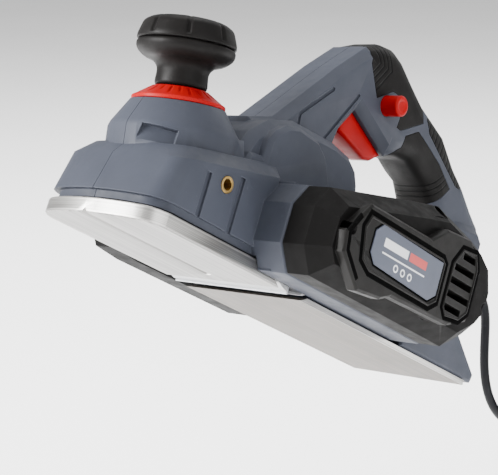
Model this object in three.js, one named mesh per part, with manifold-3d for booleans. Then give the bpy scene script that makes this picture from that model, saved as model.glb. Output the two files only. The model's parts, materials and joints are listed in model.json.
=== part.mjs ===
// Electric hand planer: an assembly of separate pieces, in millimetres, +Z up.
// +X points to the tail, -Y is the motor side. The planer is modelled from the mouth, the front
// edge of the rear sole, and the whole of it is then shifted so that the origin is the centre of
// the rear sole's flat face.
import * as THREE from 'three';
import { mergeVertices } from 'three/addons/utils/BufferGeometryUtils.js';
import { ConvexGeometry } from 'three/addons/geometries/ConvexGeometry.js';
import Module from 'manifold-3d';

const wasm = await Module();
wasm.setup();

// ---------------------------------------------------------------- driving dimensions
const GAP = 0.3;                                   // clearance between touching pieces
const WALL = 3;                                    // thickness of the moulded casings
const PLANING_WIDTH = 82;
const HALF = PLANING_WIDTH / 2;
const REAR_SOLE = { length: 166, thickness: 3 };
const FRONT_SHOE = { length: 108, thickness: 8, mouth: 16, cut: 1, bow: 8, corner: 8, lip: 1.3 };
const DRUM = { x: -7.5, radius: 23.5, body: 22.6, clearance: 24.7, chamber: 26.5, shaft: 5 };
const DRUM_Z = DRUM.radius;                        // the blades just reach the rear sole's plane
const BLADE = { width: 12, thickness: 1.1 };
const MOTOR = { x: 50, z: 38, stator: 27, core: 18, shaft: 4, length: 42, inner: -57 };
const BEARING = { outer: 11, inner: 9, width: 6 };
const BELT = { drumPulley: 17, motorPulley: 10, thickness: 2, width: 9 };
const BELT_COVER = { depth: 22, wall: 2.5 };
const COLLAR = { face: -60 };                      // where the motor cover meets the casing
const COVER = { depth: 27, panel: 5.5, taper: 9 };
const HANDLE = { half: 17, chamfer: 5, legRounding: 9.5, wall: 4.5, rubber: 2 };
const KNOB = { x: -84.6, z: 73, lean: 12, capRadius: 25.8, capTop: 44.4, seam: 31.4, stem: 13 };
const RING = { radius: 24.3, top: 14.6, height: 8.6 };
const TOWER = { radius: 34, shoulder: 13, depth: 50, hollow: 27.5 };
const SCREW = { head: 3.1, headHeight: 2.2, shank: 1.6 };
const BUTTON = { x: 57, z: 133.5, radius: 6, proud: 11 };
const INSERT = { x: -76, z: 35.5, radius: 4.25, bore: 3, depth: 10 };
const CORD = { diameter: 6, coilInner: 20, coilOuter: 44, layers: 4, tieWidth: 9, tie: 1 };
const RELIEF = { x: 180, z: 93.5, droop: 29.5, root: 7, tip: 4.2, length: 48 };
const PLUG = { neck: 5, neckLength: 20, width: 36, height: 26, length: 30, pin: 2.4, pinLength: 19, pitch: 19 };

const SOLE_TOP = REAR_SOLE.thickness + GAP;
const SHOE_TOP = FRONT_SHOE.cut + FRONT_SHOE.thickness;
const SHOE_NOSE = -FRONT_SHOE.mouth - FRONT_SHOE.length;
const LIP_Z = SHOE_TOP + FRONT_SHOE.lip;
const FAR = HALF + BELT_COVER.depth;

// ---------------------------------------------------------------- finishes
const finish = (color, roughness, metalness = 0) => ({ color, roughness, metalness });
const SLATE = finish(0x5a6173, 0.55);
const CHARCOAL = finish(0x26262a, 0.5);
const PANEL_GREY = finish(0x6e7684, 0.4);
const RUBBER = finish(0x2a2624, 0.8);
const RED = finish(0xc8141e, 0.35);
const ALUMINIUM = finish(0xc9c7c2, 0.35, 1);
const SOLE_METAL = finish(0xb8ada2, 0.45, 1);
const STEEL = finish(0x9a9ca0, 0.3, 1);
const DARK_STEEL = finish(0x3c3d40, 0.4, 1);
const BRASS = finish(0xc29a4a, 0.35, 1);
const COPPER = finish(0xb06a3a, 0.4, 1);
const NYLON = finish(0xd8d4c8, 0.5);
const CORD_BLACK = finish(0x1d1d1f, 0.6);

// ---------------------------------------------------------------- building blocks
/** Closed geometry as a solid that can be joined and cut; folded triangles are left out. */
function solid(geometry) {
  const bare = geometry.clone();
  bare.deleteAttribute('normal');
  bare.deleteAttribute('uv');
  const merged = mergeVertices(bare, 1e-3);
  const corners = merged.index.array;
  const kept = [];
  for (let i = 0; i < corners.length; i += 3) {
    const [a, b, c] = corners.slice(i, i + 3);
    if (a !== b && b !== c && c !== a) kept.push(a, b, c);
  }
  const vertProperties = new Float32Array(merged.attributes.position.array);
  const mesh = new wasm.Mesh({ numProp: 3, vertProperties, triVerts: new Uint32Array(kept) });
  mesh.merge();
  return new wasm.Manifold(mesh);
}

/** A solid back as a three.js geometry. */
function surface(body) {
  const mesh = body.getMesh();
  const geometry = new THREE.BufferGeometry();
  geometry.setAttribute('position', new THREE.BufferAttribute(mesh.vertProperties, 3));
  geometry.setIndex(new THREE.BufferAttribute(mesh.triVerts, 1));
  geometry.computeVertexNormals();
  return geometry;
}

const union = (...bodies) => bodies.reduce((all, one) => all.add(one));
const cut = (body, ...tools) => tools.reduce((left, tool) => left.subtract(tool), body);

/** Outline of [a, b] points extruded by depth along +Z. Its chamfer stays inside it, and is round from two steps on. */
function extrude(outline, depth, chamfer = 0, holes = [], steps = 1) {
  const shape = new THREE.Shape(outline.map(([a, b]) => new THREE.Vector2(a, b)));
  shape.holes = holes.map((hole) => new THREE.Path(hole.map(([a, b]) => new THREE.Vector2(a, b))));
  const options = { depth: depth - 2 * chamfer, bevelEnabled: chamfer > 0, bevelSegments: steps };
  Object.assign(options, { bevelSize: chamfer, bevelThickness: chamfer, bevelOffset: -chamfer });
  return new THREE.ExtrudeGeometry(shape, options).translate(0, 0, chamfer);
}

const prismZ = (outline, z0, z1, chamfer) => solid(extrude(outline, z1 - z0, chamfer).translate(0, 0, z0));

/** Outline of [x, z] points, extruded from y0 to y1. */
function prismY(outline, y0, y1, chamfer, holes, steps) {
  return solid(extrude(outline, y1 - y0, chamfer, holes, steps).translate(0, 0, -y1).rotateX(Math.PI / 2));
}

/** Outline of [y, z] points, extruded from x0 to x1. */
function prismX(outline, x0, x1) {
  const turn = new THREE.Matrix4().set(0, 0, 1, x0, 1, 0, 0, 0, 0, 1, 0, 0, 0, 0, 0, 1);
  return solid(extrude(outline, x1 - x0).applyMatrix4(turn));
}

function box([x0, x1], [y0, y1], [z0, z1]) {
  const block = new THREE.BoxGeometry(x1 - x0, y1 - y0, z1 - z0);
  return solid(block.translate((x0 + x1) / 2, (y0 + y1) / 2, (z0 + z1) / 2));
}

/** Convex faceted solid through corner points. */
const hull = (points) => solid(new ConvexGeometry(points.map((p) => new THREE.Vector3(...p))));

/** Cylinder along Y about (x, z). */
function rodY(radius, x, z, y0, y1, sides = 24) {
  const rod = new THREE.CylinderGeometry(radius, radius, y1 - y0, sides);
  return solid(rod.translate(x, (y0 + y1) / 2, z));
}

/** Cylinder along Z about (x, y). */
function rodZ(radius, x, y, z0, z1, sides = 16) {
  const rod = new THREE.CylinderGeometry(radius, radius, z1 - z0, sides).rotateX(Math.PI / 2);
  return solid(rod.translate(x, y, (z0 + z1) / 2));
}

/** Profile of [radius, y] points turned about the Y axis through (x, z). */
function turnedY(profile, x, z, sides = 24) {
  const points = profile.map(([r, y]) => new THREE.Vector2(r, y));
  return solid(new THREE.LatheGeometry(points, sides).translate(x, 0, z));
}

/** A bush, ring or bearing along Y. */
const ringY = (inner, outer, x, z, y0, y1, sides = 24) => turnedY(
  [[inner, y0], [outer, y0], [outer, y1], [inner, y1], [inner, y0]], x, z, sides);

/** The knob's frame: origin at the ring's foot, +Z up the knob's leaning axis. */
const KNOB_FRAME = new THREE.Matrix4()
  .makeTranslation(KNOB.x, 0, KNOB.z)
  .multiply(new THREE.Matrix4().makeRotationY(-THREE.MathUtils.degToRad(KNOB.lean)));

/** Profile of [radius, height] points turned about the knob's axis. */
function turnedOnKnob(profile, sides = 32) {
  const points = profile.map(([r, s]) => new THREE.Vector2(r, s));
  const lathe = new THREE.LatheGeometry(points, sides).rotateX(Math.PI / 2);
  return solid(lathe.applyMatrix4(KNOB_FRAME));
}

/** Outline moved inwards by a wall, for outlines that turn anticlockwise. */
function inset(outline, wall) {
  return outline.map((corner, i) => {
    const here = new THREE.Vector2(...corner);
    const before = new THREE.Vector2(...outline.at(i - 1));
    const after = new THREE.Vector2(...outline[(i + 1) % outline.length]);
    const d1 = here.clone().sub(before).normalize();
    const d2 = after.sub(here).normalize();
    const turn = 1 + d1.dot(d2);
    return [here.x - (d1.y + d2.y) * wall / turn, here.y + (d1.x + d2.x) * wall / turn];
  });
}

/** Bowed nose with rounded corners seen from above, with straight sides back to x = rear. */
function noseOutline(nose, rear, half, steps = 20) {
  const { bow, corner } = FRONT_SHOE;
  const points = [[rear, -half], [rear, half]];
  for (let i = 0; i <= steps; i += 1) {
    const side = Math.sin(Math.PI * (0.5 - i / steps));
    points.push([nose + bow * side ** 2 + corner * side ** 16, half * side]);
  }
  return points;
}

const planer = new THREE.Group();

/** Adds one named piece to the planer. */
function piece(name, body, look) {
  const material = new THREE.MeshStandardMaterial({ ...look, flatShading: true });
  const mesh = new THREE.Mesh(surface(body), material);
  mesh.name = name;
  planer.add(mesh);
}

/** Countersunk-style screw along Y: head at y, shank reaching along +Y or -Y. */
function screwY(name, x, z, y, way, length) {
  const { head, headHeight, shank } = SCREW;
  const profile = [[0, 0], [head, 0], [head, headHeight], [shank, headHeight], [shank, length], [0, length]];
  const placed = profile.map(([r, s]) => [r, y + way * s]);
  piece(name, turnedY(way > 0 ? placed : placed.reverse(), x, z, 12), DARK_STEEL);
}

/** The hole for such a screw: a counterbore from the outside and a close shank hole. */
function screwHole(x, z, y, way, length, mouth) {
  const { head, headHeight, shank } = SCREW;
  const [low, high] = [y + way * headHeight, y - way * mouth].sort((a, b) => a - b);
  const [from, to] = [y, y + way * (length + 1)].sort((a, b) => a - b);
  const seat = rodY(head + GAP, x, z, Math.min(low, high), Math.max(low, high) + GAP / 2, 12);
  return union(seat, rodY(shank + GAP, x, z, from - GAP, to + GAP, 12));
}

// ---------------------------------------------------------------- soles
const drumClearance = rodY(DRUM.clearance, DRUM.x, DRUM_Z, -HALF - 1, HALF + 1, 40);
const depthScrewRadius = 5;
const nutRadius = 9;
const nutBottom = -62;
const nutTop = -46;

function frontShoe() {
  const outline = noseOutline(SHOE_NOSE, -FRONT_SHOE.mouth, HALF);
  const plate = prismZ(outline, FRONT_SHOE.cut, SHOE_TOP, 0.6);
  const groove = [[-3, FRONT_SHOE.cut - 1], [3, FRONT_SHOE.cut - 1], [0, FRONT_SHOE.cut + 2.4]];
  const vGroove = prismX(groove, SHOE_NOSE - 1, -FRONT_SHOE.mouth - 12);
  const sideNotch = box([-38, 0], [-HALF - 1, -HALF + 7], [SHOE_TOP - 5, SHOE_TOP + 1]);
  const nut = turnedOnKnob([[0, nutBottom - 4], [nutRadius, nutBottom - 4], [nutRadius, nutTop], [0, nutTop]], 16);
  const bore = turnedOnKnob([
    [0, nutBottom + 2], [depthScrewRadius + GAP, nutBottom + 2],
    [depthScrewRadius + GAP, nutTop + 1], [0, nutTop + 1],
  ], 16);
  const upperHalf = box([-200, 0], [-60, 60], [FRONT_SHOE.cut + 3, 80]);
  return cut(union(plate, nut.intersect(upperHalf)), vGroove, sideNotch, drumClearance, bore);
}

const SOLE_STUDS = [[134, -30], [134, 30]];
const studRadius = 4.5;
const studTop = 9;

function rearSole() {
  const plate = box([0, REAR_SOLE.length], [-HALF, HALF], [0, REAR_SOLE.thickness]);
  const studs = SOLE_STUDS.map(([x, y]) => rodZ(studRadius, x, y, 1, studTop));
  const bores = SOLE_STUDS.map(([x, y]) => rodZ(SCREW.shank + GAP, x, y, 1.5, studTop + 1, 12));
  return cut(union(plate, ...studs), ...bores, drumClearance);
}

piece('front_shoe', frontShoe(), ALUMINIUM);
piece('rear_sole', rearSole(), SOLE_METAL);

// ---------------------------------------------------------------- casing outlines
const LEDGE_SLOPE = 0.23;                          // the ledges rise towards the knob's back
const slope = (x) => (x - SHOE_NOSE) * LEDGE_SLOPE;
const ring = (outline, z) => outline.map(([x, y]) => [x, y, z + slope(x)]);
const level = (outline, z) => outline.map(([x, y]) => [x, y, z]);

const MOTOR_OUTLINE = [
  [-37, 4], [86, 4], [103, 16], [112, 28], [112, 44], [104, 60],
  [90, 67.5], [52, 74], [31, 69], [1, 60.5], [-39, 50.5], [-47, 38], [-47, 17],
];
const MOTOR_BAY = [
  [20, 8], [84, 8], [99, 18.5], [107, 30], [107, 43], [100, 57], [88, 63.5], [62, 67], [20, 60],
];
const MID_OUTLINE = [
  [-62, 20], [44, 20], [42, 66], [38, 78], [33, 86], [26, 90], [10, 92],
  [-26, 90], [-44, 83], [-56, 72], [-62, 58],
];
const BOSS_OUTLINE = [
  [-47, 40], [8, 40], [7, 65], [-2.5, 79], [-12, 84.6], [-30, 85.2], [-38, 82.4], [-45, 77], [-49, 70], [-49, 58],
];
const TAIL_OUTLINE = [
  [96, SOLE_TOP], [174, SOLE_TOP], [175, 9], [150, 27], [128, 46], [96, 52],
];
const BACK_OUTLINE = [
  [112, 20], [150, 20], [165, 40], [174, 62], [181, 84], [181, 94], [172, 101], [150, 98], [112, 60],
];
const ARM_OUTLINE = [
  [-50, 62], [26, 62], [24, 94], [26, 106], [36, 122], [72, 108], [75, 126], [71, 140], [60, 150], [40, 156],
  [31, 158.8], [11.8, 138.4], [-28, 91.4], [-46, 84],
];
const LEG_OUTLINE = [
  [36, 122], [72, 108], [84, 113], [97, 115], [109, 110], [118, 107.5], [125, 100], [130, 88], [134, 72],
  [150, 60], [172, 62], [180, 84], [183.5, 95], [180, 103], [168, 110.2], [153.7, 120.2], [138.7, 128.2],
  [121, 141], [93, 149.8], [78, 157.4], [64, 165], [54, 167.8], [43, 166], [31, 158.8], [25, 145], [27, 128],
];
const ARM_CAVITY = [
  [-40, 66], [21, 66], [19.5, 95], [22, 108], [32, 126], [72, 113.5], [97, 121], [126, 112], [141, 72],
  [166, 70], [178, 95], [119, 136], [75.6, 151.5], [50, 161.5], [34, 154], [-25, 88], [-40, 80],
];
const DRUM_CHEEK = [[-38, 4], [20, 4], [20, 52], [-38, 52]];

/** Everything the two casing halves enclose, as one outer body. */
function casingBody() {
  const lip = prismZ(noseOutline(SHOE_NOSE + 3.6, -30, HALF - 2.5), LIP_Z, LIP_Z + 8);
  const wallFoot = noseOutline(SHOE_NOSE + 0.8, -40, HALF);
  const wallTop = noseOutline(SHOE_NOSE + 6.4, -40, HALF);
  const ledge = noseOutline(SHOE_NOSE + 13.4, -40, HALF - 6);
  const lowerTier = hull([...level(wallFoot, LIP_Z + 3.7), ...ring(wallTop, 33.5), ...ring(ledge, 40.4)]);
  const chinFoot = noseOutline(SHOE_NOSE + 17, -60, HALF - 8);
  const chinTop = noseOutline(SHOE_NOSE + 24, -60, HALF - 13);
  const chin = hull([...ring(chinFoot, 38), ...ring(chinTop, 50)]);
  const { radius, shoulder, depth } = TOWER;
  const tower = turnedOnKnob([
    [0, -depth + 10], [radius, -depth + 10], [radius, -shoulder - 2], [radius - 1, -shoulder + 0.6],
    [RING.radius + 0.6, 0], [0, 0],
  ]);
  const block = prismY([[-70, 30], [-20, 30], [-20, 66], [-58, 60]], -HALF + 7, HALF - 7, 2);
  const mid = prismY(MID_OUTLINE, -30, 30, 5);
  const bay = prismY(MOTOR_OUTLINE, COLLAR.face, HALF, 1);
  const tail = prismY(TAIL_OUTLINE, -HALF, HALF, 1.5);
  const back = prismY(BACK_OUTLINE, -22, 22, 6);
  const cheeks = prismY(DRUM_CHEEK, -HALF - 9, HALF);
  const pulleyPlate = prismY(inset(BELT_COVER_OUTLINE, BELT_COVER.wall + GAP), HALF - 1, HALF + 7.5);
  const boss = prismY(BOSS_OUTLINE, -36, 0, 2.5);
  const chipPort = rodY(CHIP_PORT.bore + 5.5, CHIP_PORT.x, CHIP_PORT.z, 0, HALF - 2, 28);
  const front = union(lip, lowerTier, chin, tower, block);
  return union(front, mid, bay, tail, back, handleBody, cheeks, pulleyPlate, boss, chipPort);
}

// ---------------------------------------------------------------- cover outlines
const BELT_COVER_OUTLINE = [
  [-56, 2.8], [-38, 1], [60, 1], [70, 7], [76, 24], [76, 48], [66, 60], [44, 62],
  [-26, 50], [-50, 44], [-66, 34], [-68, 18],
];
const CHIP_PORT = { x: -24, z: 67, bore: 17.5 };

const PANEL_OUTLINE = [
  [-20, 3.6], [0, 5.6], [8, 9.4], [62, 11], [78, 18], [80, 46], [65, 60], [42, 58],
  [30, 48.5], [-25, 47.5], [-40, 28.5], [-38, 18],
];
const LABEL_OUTLINE = [[-13, 20], [38, 17.5], [44, 22], [44, 40], [-13, 41], [-18, 36.5], [-18, 25]];
const VENT = { top: 49.8, pitch: 7.5, height: 3.7 };
const VENT_SLOTS = [[60.5, 73], [55.2, 74], [54.4, 75], [54, 75.5], [54, 70]];   // ends of each slot in x
const COVER_SCREWS = [[-36, 31], [50, 69.5], [100, 32]];

const coverEnd = COLLAR.face - COVER.depth;
const panelFace = coverEnd - COVER.panel;

function motorCover() {
  const foot = inset(MOTOR_OUTLINE, 0.4);
  const shrink = inset(MOTOR_OUTLINE, COVER.taper);
  const waist = COLLAR.face - 14;
  const body = hull([
    ...foot.map(([x, z]) => [x, COLLAR.face - GAP, z]), ...foot.map(([x, z]) => [x, waist, z]),
    ...shrink.map(([x, z]) => [x - 3, coverEnd, z - 1]),
  ]);
  const panel = prismY(PANEL_OUTLINE, panelFace, coverEnd + 2, 1.2);
  const cavity = rodY(MOTOR.stator + 1, MOTOR.x, MOTOR.z, coverEnd + WALL, COLLAR.face, 28);
  const bearingBoss = ringY(MOTOR.shaft, BEARING.inner + WALL, MOTOR.x, MOTOR.z, coverEnd + 1, coverEnd + 9.4);
  const bearingSeat = rodY(BEARING.inner + GAP, MOTOR.x, MOTOR.z, coverEnd + 3, COLLAR.face);
  const shaftHole = rodY(MOTOR.shaft + GAP, MOTOR.x, MOTOR.z, coverEnd + 1, COLLAR.face);
  const labelRecess = prismY(inset(LABEL_OUTLINE, -GAP), panelFace - 1, panelFace + 1.6);
  const holes = COVER_SCREWS.map(([x, z]) => screwHole(x, z, COVER_SCREW_Y, 1, COVER_SCREW_LENGTH, 40));
  const slots = VENT_SLOTS.map(([left, right], i) => {
    const z = VENT.top - i * VENT.pitch;
    const outline = [[left, z - VENT.height / 2], [right, z - VENT.height / 2], [right, z + VENT.height / 2],
      [left, z + VENT.height / 2]];
    return prismY(outline, panelFace - 1, coverEnd + WALL + 8);
  });
  const shell = cut(union(cut(union(body, panel), cavity), bearingBoss), bearingSeat, shaftHole);
  return cut(shell, labelRecess, ...holes, ...slots);
}

const COVER_SCREW_Y = COLLAR.face - 12;
const COVER_SCREW_LENGTH = 20;

piece('motor_cover', motorCover(), CHARCOAL);
piece('label_plate', prismY(LABEL_OUTLINE, panelFace - 0.4, panelFace + 1.3), PANEL_GREY);
COVER_SCREWS.forEach(([x, z], i) => {
  screwY(`cover_screw_${i + 1}`, x, z, COVER_SCREW_Y, 1, COVER_SCREW_LENGTH);
});

// ---------------------------------------------------------------- cord outlet
const RELIEF_FRAME = new THREE.Matrix4()
  .makeTranslation(RELIEF.x, 0, RELIEF.z)
  .multiply(new THREE.Matrix4().makeRotationY(THREE.MathUtils.degToRad(90 + RELIEF.droop)));

/** Profile of [radius, distance] points turned about the cord's way out of the casing. */
function onRelief(profile, sides = 20) {
  const points = profile.map(([r, s]) => new THREE.Vector2(r, s));
  return solid(new THREE.LatheGeometry(points, sides).rotateX(Math.PI / 2).applyMatrix4(RELIEF_FRAME));
}

// ---------------------------------------------------------------- trigger outline
const TRIGGER = { half: 8.5, pivotX: 39, pivotZ: 127, rounding: 2.6 };
const inside = HANDLE.half - HANDLE.wall;          // half-width of the handle's hollow
const TRIGGER_OUTLINE = [
  [34, 130], [30.5, 112], [33, 107.5], [38, 106.5], [60, 101.5], [67, 103], [74, 109], [75, 116],
  [72, 118.5], [57, 118.5], [46, 129], [42, 131],
];

// ---------------------------------------------------------------- rubber on the handle
const UPPER_GRIP = [
  [34, 150], [46.5, 134], [59, 143.5], [66, 143.5], [70, 138], [71.5, 131.5], [71, 126], [75, 125.7],
  [94, 138], [92, 144], [97, 149], [112, 158], [96, 166], [78, 170], [56, 178], [32, 172],
];
const LOWER_GRIP = [
  [70, 98], [104, 80], [117, 86], [136, 112.5], [119, 122.3], [99, 129.6], [92, 131.8], [81, 124.5],
  [81, 117], [78.5, 114.5],
];
const BACK_GRIP = [[97.5, 141.8], [102.5, 134.8], [141, 116], [146.5, 116], [157, 129], [118, 158], [102.5, 146.5]];

/** The handle, or the handle with its surface moved inwards by a depth. */
function handle(depth) {
  const half = HANDLE.half - depth;
  const arm = prismY(inset(ARM_OUTLINE, depth), -half, half, HANDLE.chamfer);
  return union(arm, prismY(inset(LEG_OUTLINE, depth), -half, half, HANDLE.legRounding, [], 4));
}

const handleBody = handle(0);
const rubberCore = handle(HANDLE.rubber);
const casingCore = handle(HANDLE.rubber + GAP);
const gripZones = [UPPER_GRIP, LOWER_GRIP, BACK_GRIP];
const grip = (zone) => cut(handleBody.intersect(prismY(zone, -HALF, HALF)), rubberCore);
const gripRecess = (zone) => cut(prismY(inset(zone, -GAP), -HALF - GAP, HALF + GAP), casingCore);

// ---------------------------------------------------------------- casing halves
const RIB_GROOVES = [[-90, 37], [-66, 43]];
const SHELL_SCREWS = [[-98, 26, HALF], [6, 118, HANDLE.half], [146, 107, HANDLE.half], [150, 66, 22]];
const BELT_SCREWS = [[-60, 26], [68, 52]];
const SHELL_SCREW_LENGTH = 24;
const BELT_SCREW_LENGTH = 20;

const ARM_GROOVES = [
  [[8.6, 123], [-12.4, 100], [-11.6, 92.6]],
  [[30.7, 128.5], [10.4, 93]],
];

/** Shallow groove between two points of the arm's near face. */
function faceGroove([x0, z0], [x1, z1]) {
  const face = -HANDLE.half;
  const ends = [rodY(1.1, x0, z0, face - 1, face + 1.1, 8), rodY(1.1, x1, z1, face - 1, face + 1.1, 8)];
  return wasm.Manifold.hull(ends);
}

/** The hollows of the casing, all of them open at the parting plane. */
function casingHollows() {
  const far = HALF + 8;
  const hollows = [];
  hollows.push(prismY(MOTOR_BAY, COLLAR.face - 1, HALF - 4));
  hollows.push(rodY(MOTOR.stator + GAP, MOTOR.x, MOTOR.z, COLLAR.face - 1, -10, 32));
  hollows.push(rodY(DRUM.chamber, DRUM.x, DRUM_Z, -HALF - GAP, HALF + GAP, 32));
  hollows.push(box([-34, 4], [-HALF - GAP, HALF + GAP], [0, 16]));
  hollows.push(box([SHOE_NOSE - 20, 0], [-HALF - GAP, HALF + GAP], [-5, LIP_Z]));
  hollows.push(box([-36, -10], [-24, 24], [40, 66]));
  hollows.push(rodY(CHIP_PORT.bore, CHIP_PORT.x, CHIP_PORT.z, -26, far, 28));
  hollows.push(prismY(ARM_CAVITY, -HANDLE.half + HANDLE.wall, HANDLE.half - HANDLE.wall, 6));
  hollows.push(box([124, 149], [-16, 16], [8, 72]));
  hollows.push(turnedOnKnob([
    [0, -80], [nutRadius + 3, -80], [nutRadius + 3, -28], [depthScrewRadius + GAP, -28],
    [depthScrewRadius + GAP, 1], [0, 1],
  ], 20));
  hollows.push(turnedOnKnob([
    [nutRadius + 6, -80], [TOWER.hollow, -80], [TOWER.hollow, -20], [nutRadius + 6, -20], [nutRadius + 6, -80],
  ], 24));
  hollows.push(rodY(BEARING.outer + GAP, DRUM.x, DRUM_Z, -HALF - 7.5, HALF + 6.6, 20));
  hollows.push(rodY(DRUM.shaft + 1, DRUM.x, DRUM_Z, -HALF - 8.3, far + 1, 16));
  hollows.push(rodY(BEARING.outer + GAP, MOTOR.x, MOTOR.z, HALF - 6, HALF + 6.6, 20));
  hollows.push(rodY(MOTOR.shaft + 1, MOTOR.x, MOTOR.z, HALF - 6, far + 1, 16));
  return hollows;
}

/** The holes, seats and grooves that are cut from outside. */
function casingCuts() {
  const cuts = gripZones.map(gripRecess);
  cuts.push(onRelief([[0, -6.4], [8.3, -6.4], [8.3, -2.6], [6.3, -2.6], [6.3, 9], [0, 9]]));
  RIB_GROOVES.forEach(([x, top]) => {
    [-1, 1].forEach((side) => {
      const [y0, y1] = [side * (HALF + 1), side * (HALF - 1.6)].sort((a, b) => a - b);
      cuts.push(box([x - 1.8, x + 1.8], [y0, y1], [LIP_Z + 2, top]));
    });
  });
  cuts.push(prismY([[29, 100], [77.5, 100], [77.5, 124], [46, 134], [29, 134]], -TRIGGER.half - 0.7, TRIGGER.half + 0.7));
  const pocket = [[-112.5, -7.5], [-114, -12], [-104.5, -27], [-100.2, -21.5]];
  cuts.push(hull([...level(pocket, 44.5), ...level(pocket, 52.5)]));
  cuts.push(rodY(2 + GAP, TRIGGER.pivotX, TRIGGER.pivotZ, -inside, inside, 12));
  cuts.push(rodY(BUTTON.radius + GAP, BUTTON.x, BUTTON.z, -HANDLE.half - 1, 0, 24));
  cuts.push(rodY(INSERT.radius + GAP, INSERT.x, INSERT.z, -HALF - 1, -HALF + INSERT.depth + 0.5, 16));
  SOLE_STUDS.forEach(([x, y]) => {
    cuts.push(rodZ(studRadius + GAP, x, y, 0, studTop + GAP, 16));
    cuts.push(rodZ(SCREW.head + GAP, x, y, studTop, studTop + 5, 12));
  });
  SHELL_SCREWS.forEach(([x, z, face]) => cuts.push(screwHole(x, z, face - 3, -1, SHELL_SCREW_LENGTH, 4)));
  ARM_GROOVES.forEach((bends) => {
    for (let i = 1; i < bends.length; i += 1) cuts.push(faceGroove(bends[i - 1], bends[i]));
  });
  BELT_SCREWS.forEach(([x, z]) => cuts.push(rodY(SCREW.shank + GAP, x, z, HALF - 9, HALF + 9, 12)));
  COVER_SCREWS.forEach(([x, z]) => {
    cuts.push(rodY(SCREW.shank + GAP, x, z, COLLAR.face - 1, COVER_SCREW_Y + COVER_SCREW_LENGTH + 1, 12));
  });
  return cuts;
}

const casing = cut(casingBody(), ...casingHollows(), ...casingCuts());
const leftSide = box([-300, 300], [-200, -GAP / 2], [-10, 300]);
const rightSide = box([-300, 300], [GAP / 2, 200], [-10, 300]);
piece('left_casing', casing.intersect(leftSide), SLATE);
piece('right_casing', casing.intersect(rightSide), SLATE);

SHELL_SCREWS.forEach(([x, z, face], i) => {
  screwY(`casing_screw_${i + 1}`, x, z, face - 3, -1, SHELL_SCREW_LENGTH);
});
SOLE_STUDS.forEach(([x, y], i) => {
  const { head, headHeight, shank } = SCREW;
  const screw = union(rodZ(shank, x, y, 2, studTop + 1, 12), rodZ(head, x, y, studTop + GAP, studTop + GAP + headHeight, 12));
  piece(`sole_screw_${i + 1}`, screw, DARK_STEEL);
});

// ---------------------------------------------------------------- brass insert for the fence bolt
const { x: insertX, z: insertZ, radius: insertRadius, bore: insertBore, depth: insertDepth } = INSERT;
piece('guide_insert', ringY(insertBore, insertRadius, insertX, insertZ, -HALF - 0.4, -HALF + insertDepth, 20), BRASS);

// ---------------------------------------------------------------- depth knob
function depthRing() {
  const foot = 2.2;
  const bore = KNOB.stem - 6;
  const body = turnedOnKnob([
    [bore, GAP], [RING.radius, GAP], [RING.radius, foot], [RING.radius - 1.6, foot + 0.6],
    [RING.top, RING.height], [bore, RING.height], [bore, GAP],
  ]);
  const ticks = [];
  for (let i = 0; i < 12; i += 1) {
    const tick = new THREE.BoxGeometry(1, 5, 6).translate(0, 21.5, 6.6).rotateZ(i * Math.PI / 6);
    ticks.push(solid(tick.applyMatrix4(KNOB_FRAME)));
  }
  return cut(body, ...ticks.map((tick) => tick.intersect(turnedOnKnob([
    [RING.top + 1, foot + 0.8], [RING.radius, foot + 0.8], [RING.radius, RING.height + 2],
    [RING.top + 1, RING.height + 2], [RING.top + 1, foot + 0.8],
  ]))));
}

function knobCap() {
  const { capRadius, capTop, seam } = KNOB;
  const body = turnedOnKnob([
    [0, seam + GAP], [capRadius, seam + GAP], [capRadius, seam + 2], [capRadius - 2.6, seam + 9.4],
    [capRadius - 5.6, capTop - 1.6], [capRadius - 11, capTop - 0.4], [0, capTop],
  ], 24);
  const grooves = [];
  for (let i = 0; i < 8; i += 1) {
    const groove = new THREE.BoxGeometry(1.4, 3.4, 8).rotateX(-0.27).translate(0, capRadius - 0.6, seam + 6.4);
    grooves.push(solid(groove.rotateZ((i + 0.5) * Math.PI / 4).applyMatrix4(KNOB_FRAME)));
  }
  return cut(body, ...grooves);
}

const { stem, seam, capRadius } = KNOB;
const stemFoot = RING.height + GAP;
piece('depth_ring', depthRing(), RED);
piece('knob_stem', turnedOnKnob([
  [depthScrewRadius + GAP, stemFoot], [stem + 0.6, stemFoot], [stem - 0.8, seam - 11], [stem + 4, seam - 8.4],
  [capRadius - 4.4, seam - 5.6], [capRadius, seam - 1], [capRadius, seam],
  [depthScrewRadius + GAP, seam], [depthScrewRadius + GAP, stemFoot],
]), RUBBER);
piece('knob_cap', knobCap(), RUBBER);
piece('depth_screw', turnedOnKnob([
  [0, nutBottom + 5], [depthScrewRadius, nutBottom + 5], [depthScrewRadius, seam - 2], [0, seam - 2],
], 20), STEEL);

// ---------------------------------------------------------------- cutter drum
const drumSeats = [0, Math.PI];
const seatDepth = 12.5;

/** Something built on the drum's top, turned about the drum's axis by an angle. */
const onDrum = (geometry, angle) => solid(geometry.rotateY(angle).translate(DRUM.x, 0, DRUM_Z));
const drumBox = (x0, x1, half, z0, z1, angle) => onDrum(
  new THREE.BoxGeometry(x1 - x0, 2 * half, z1 - z0).translate((x0 + x1) / 2, 0, (z0 + z1) / 2), angle);

function cutterDrum() {
  const body = rodY(DRUM.body, DRUM.x, DRUM_Z, -HALF + 0.5, HALF - 0.5, 36);
  const bore = rodY(DRUM.shaft + GAP / 3, DRUM.x, DRUM_Z, -HALF, HALF, 20);
  const seats = drumSeats.map((angle) => drumBox(-9, 3, HALF, DRUM.body - seatDepth, DRUM.body + 2, angle));
  return cut(body, bore, ...seats);
}

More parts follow.
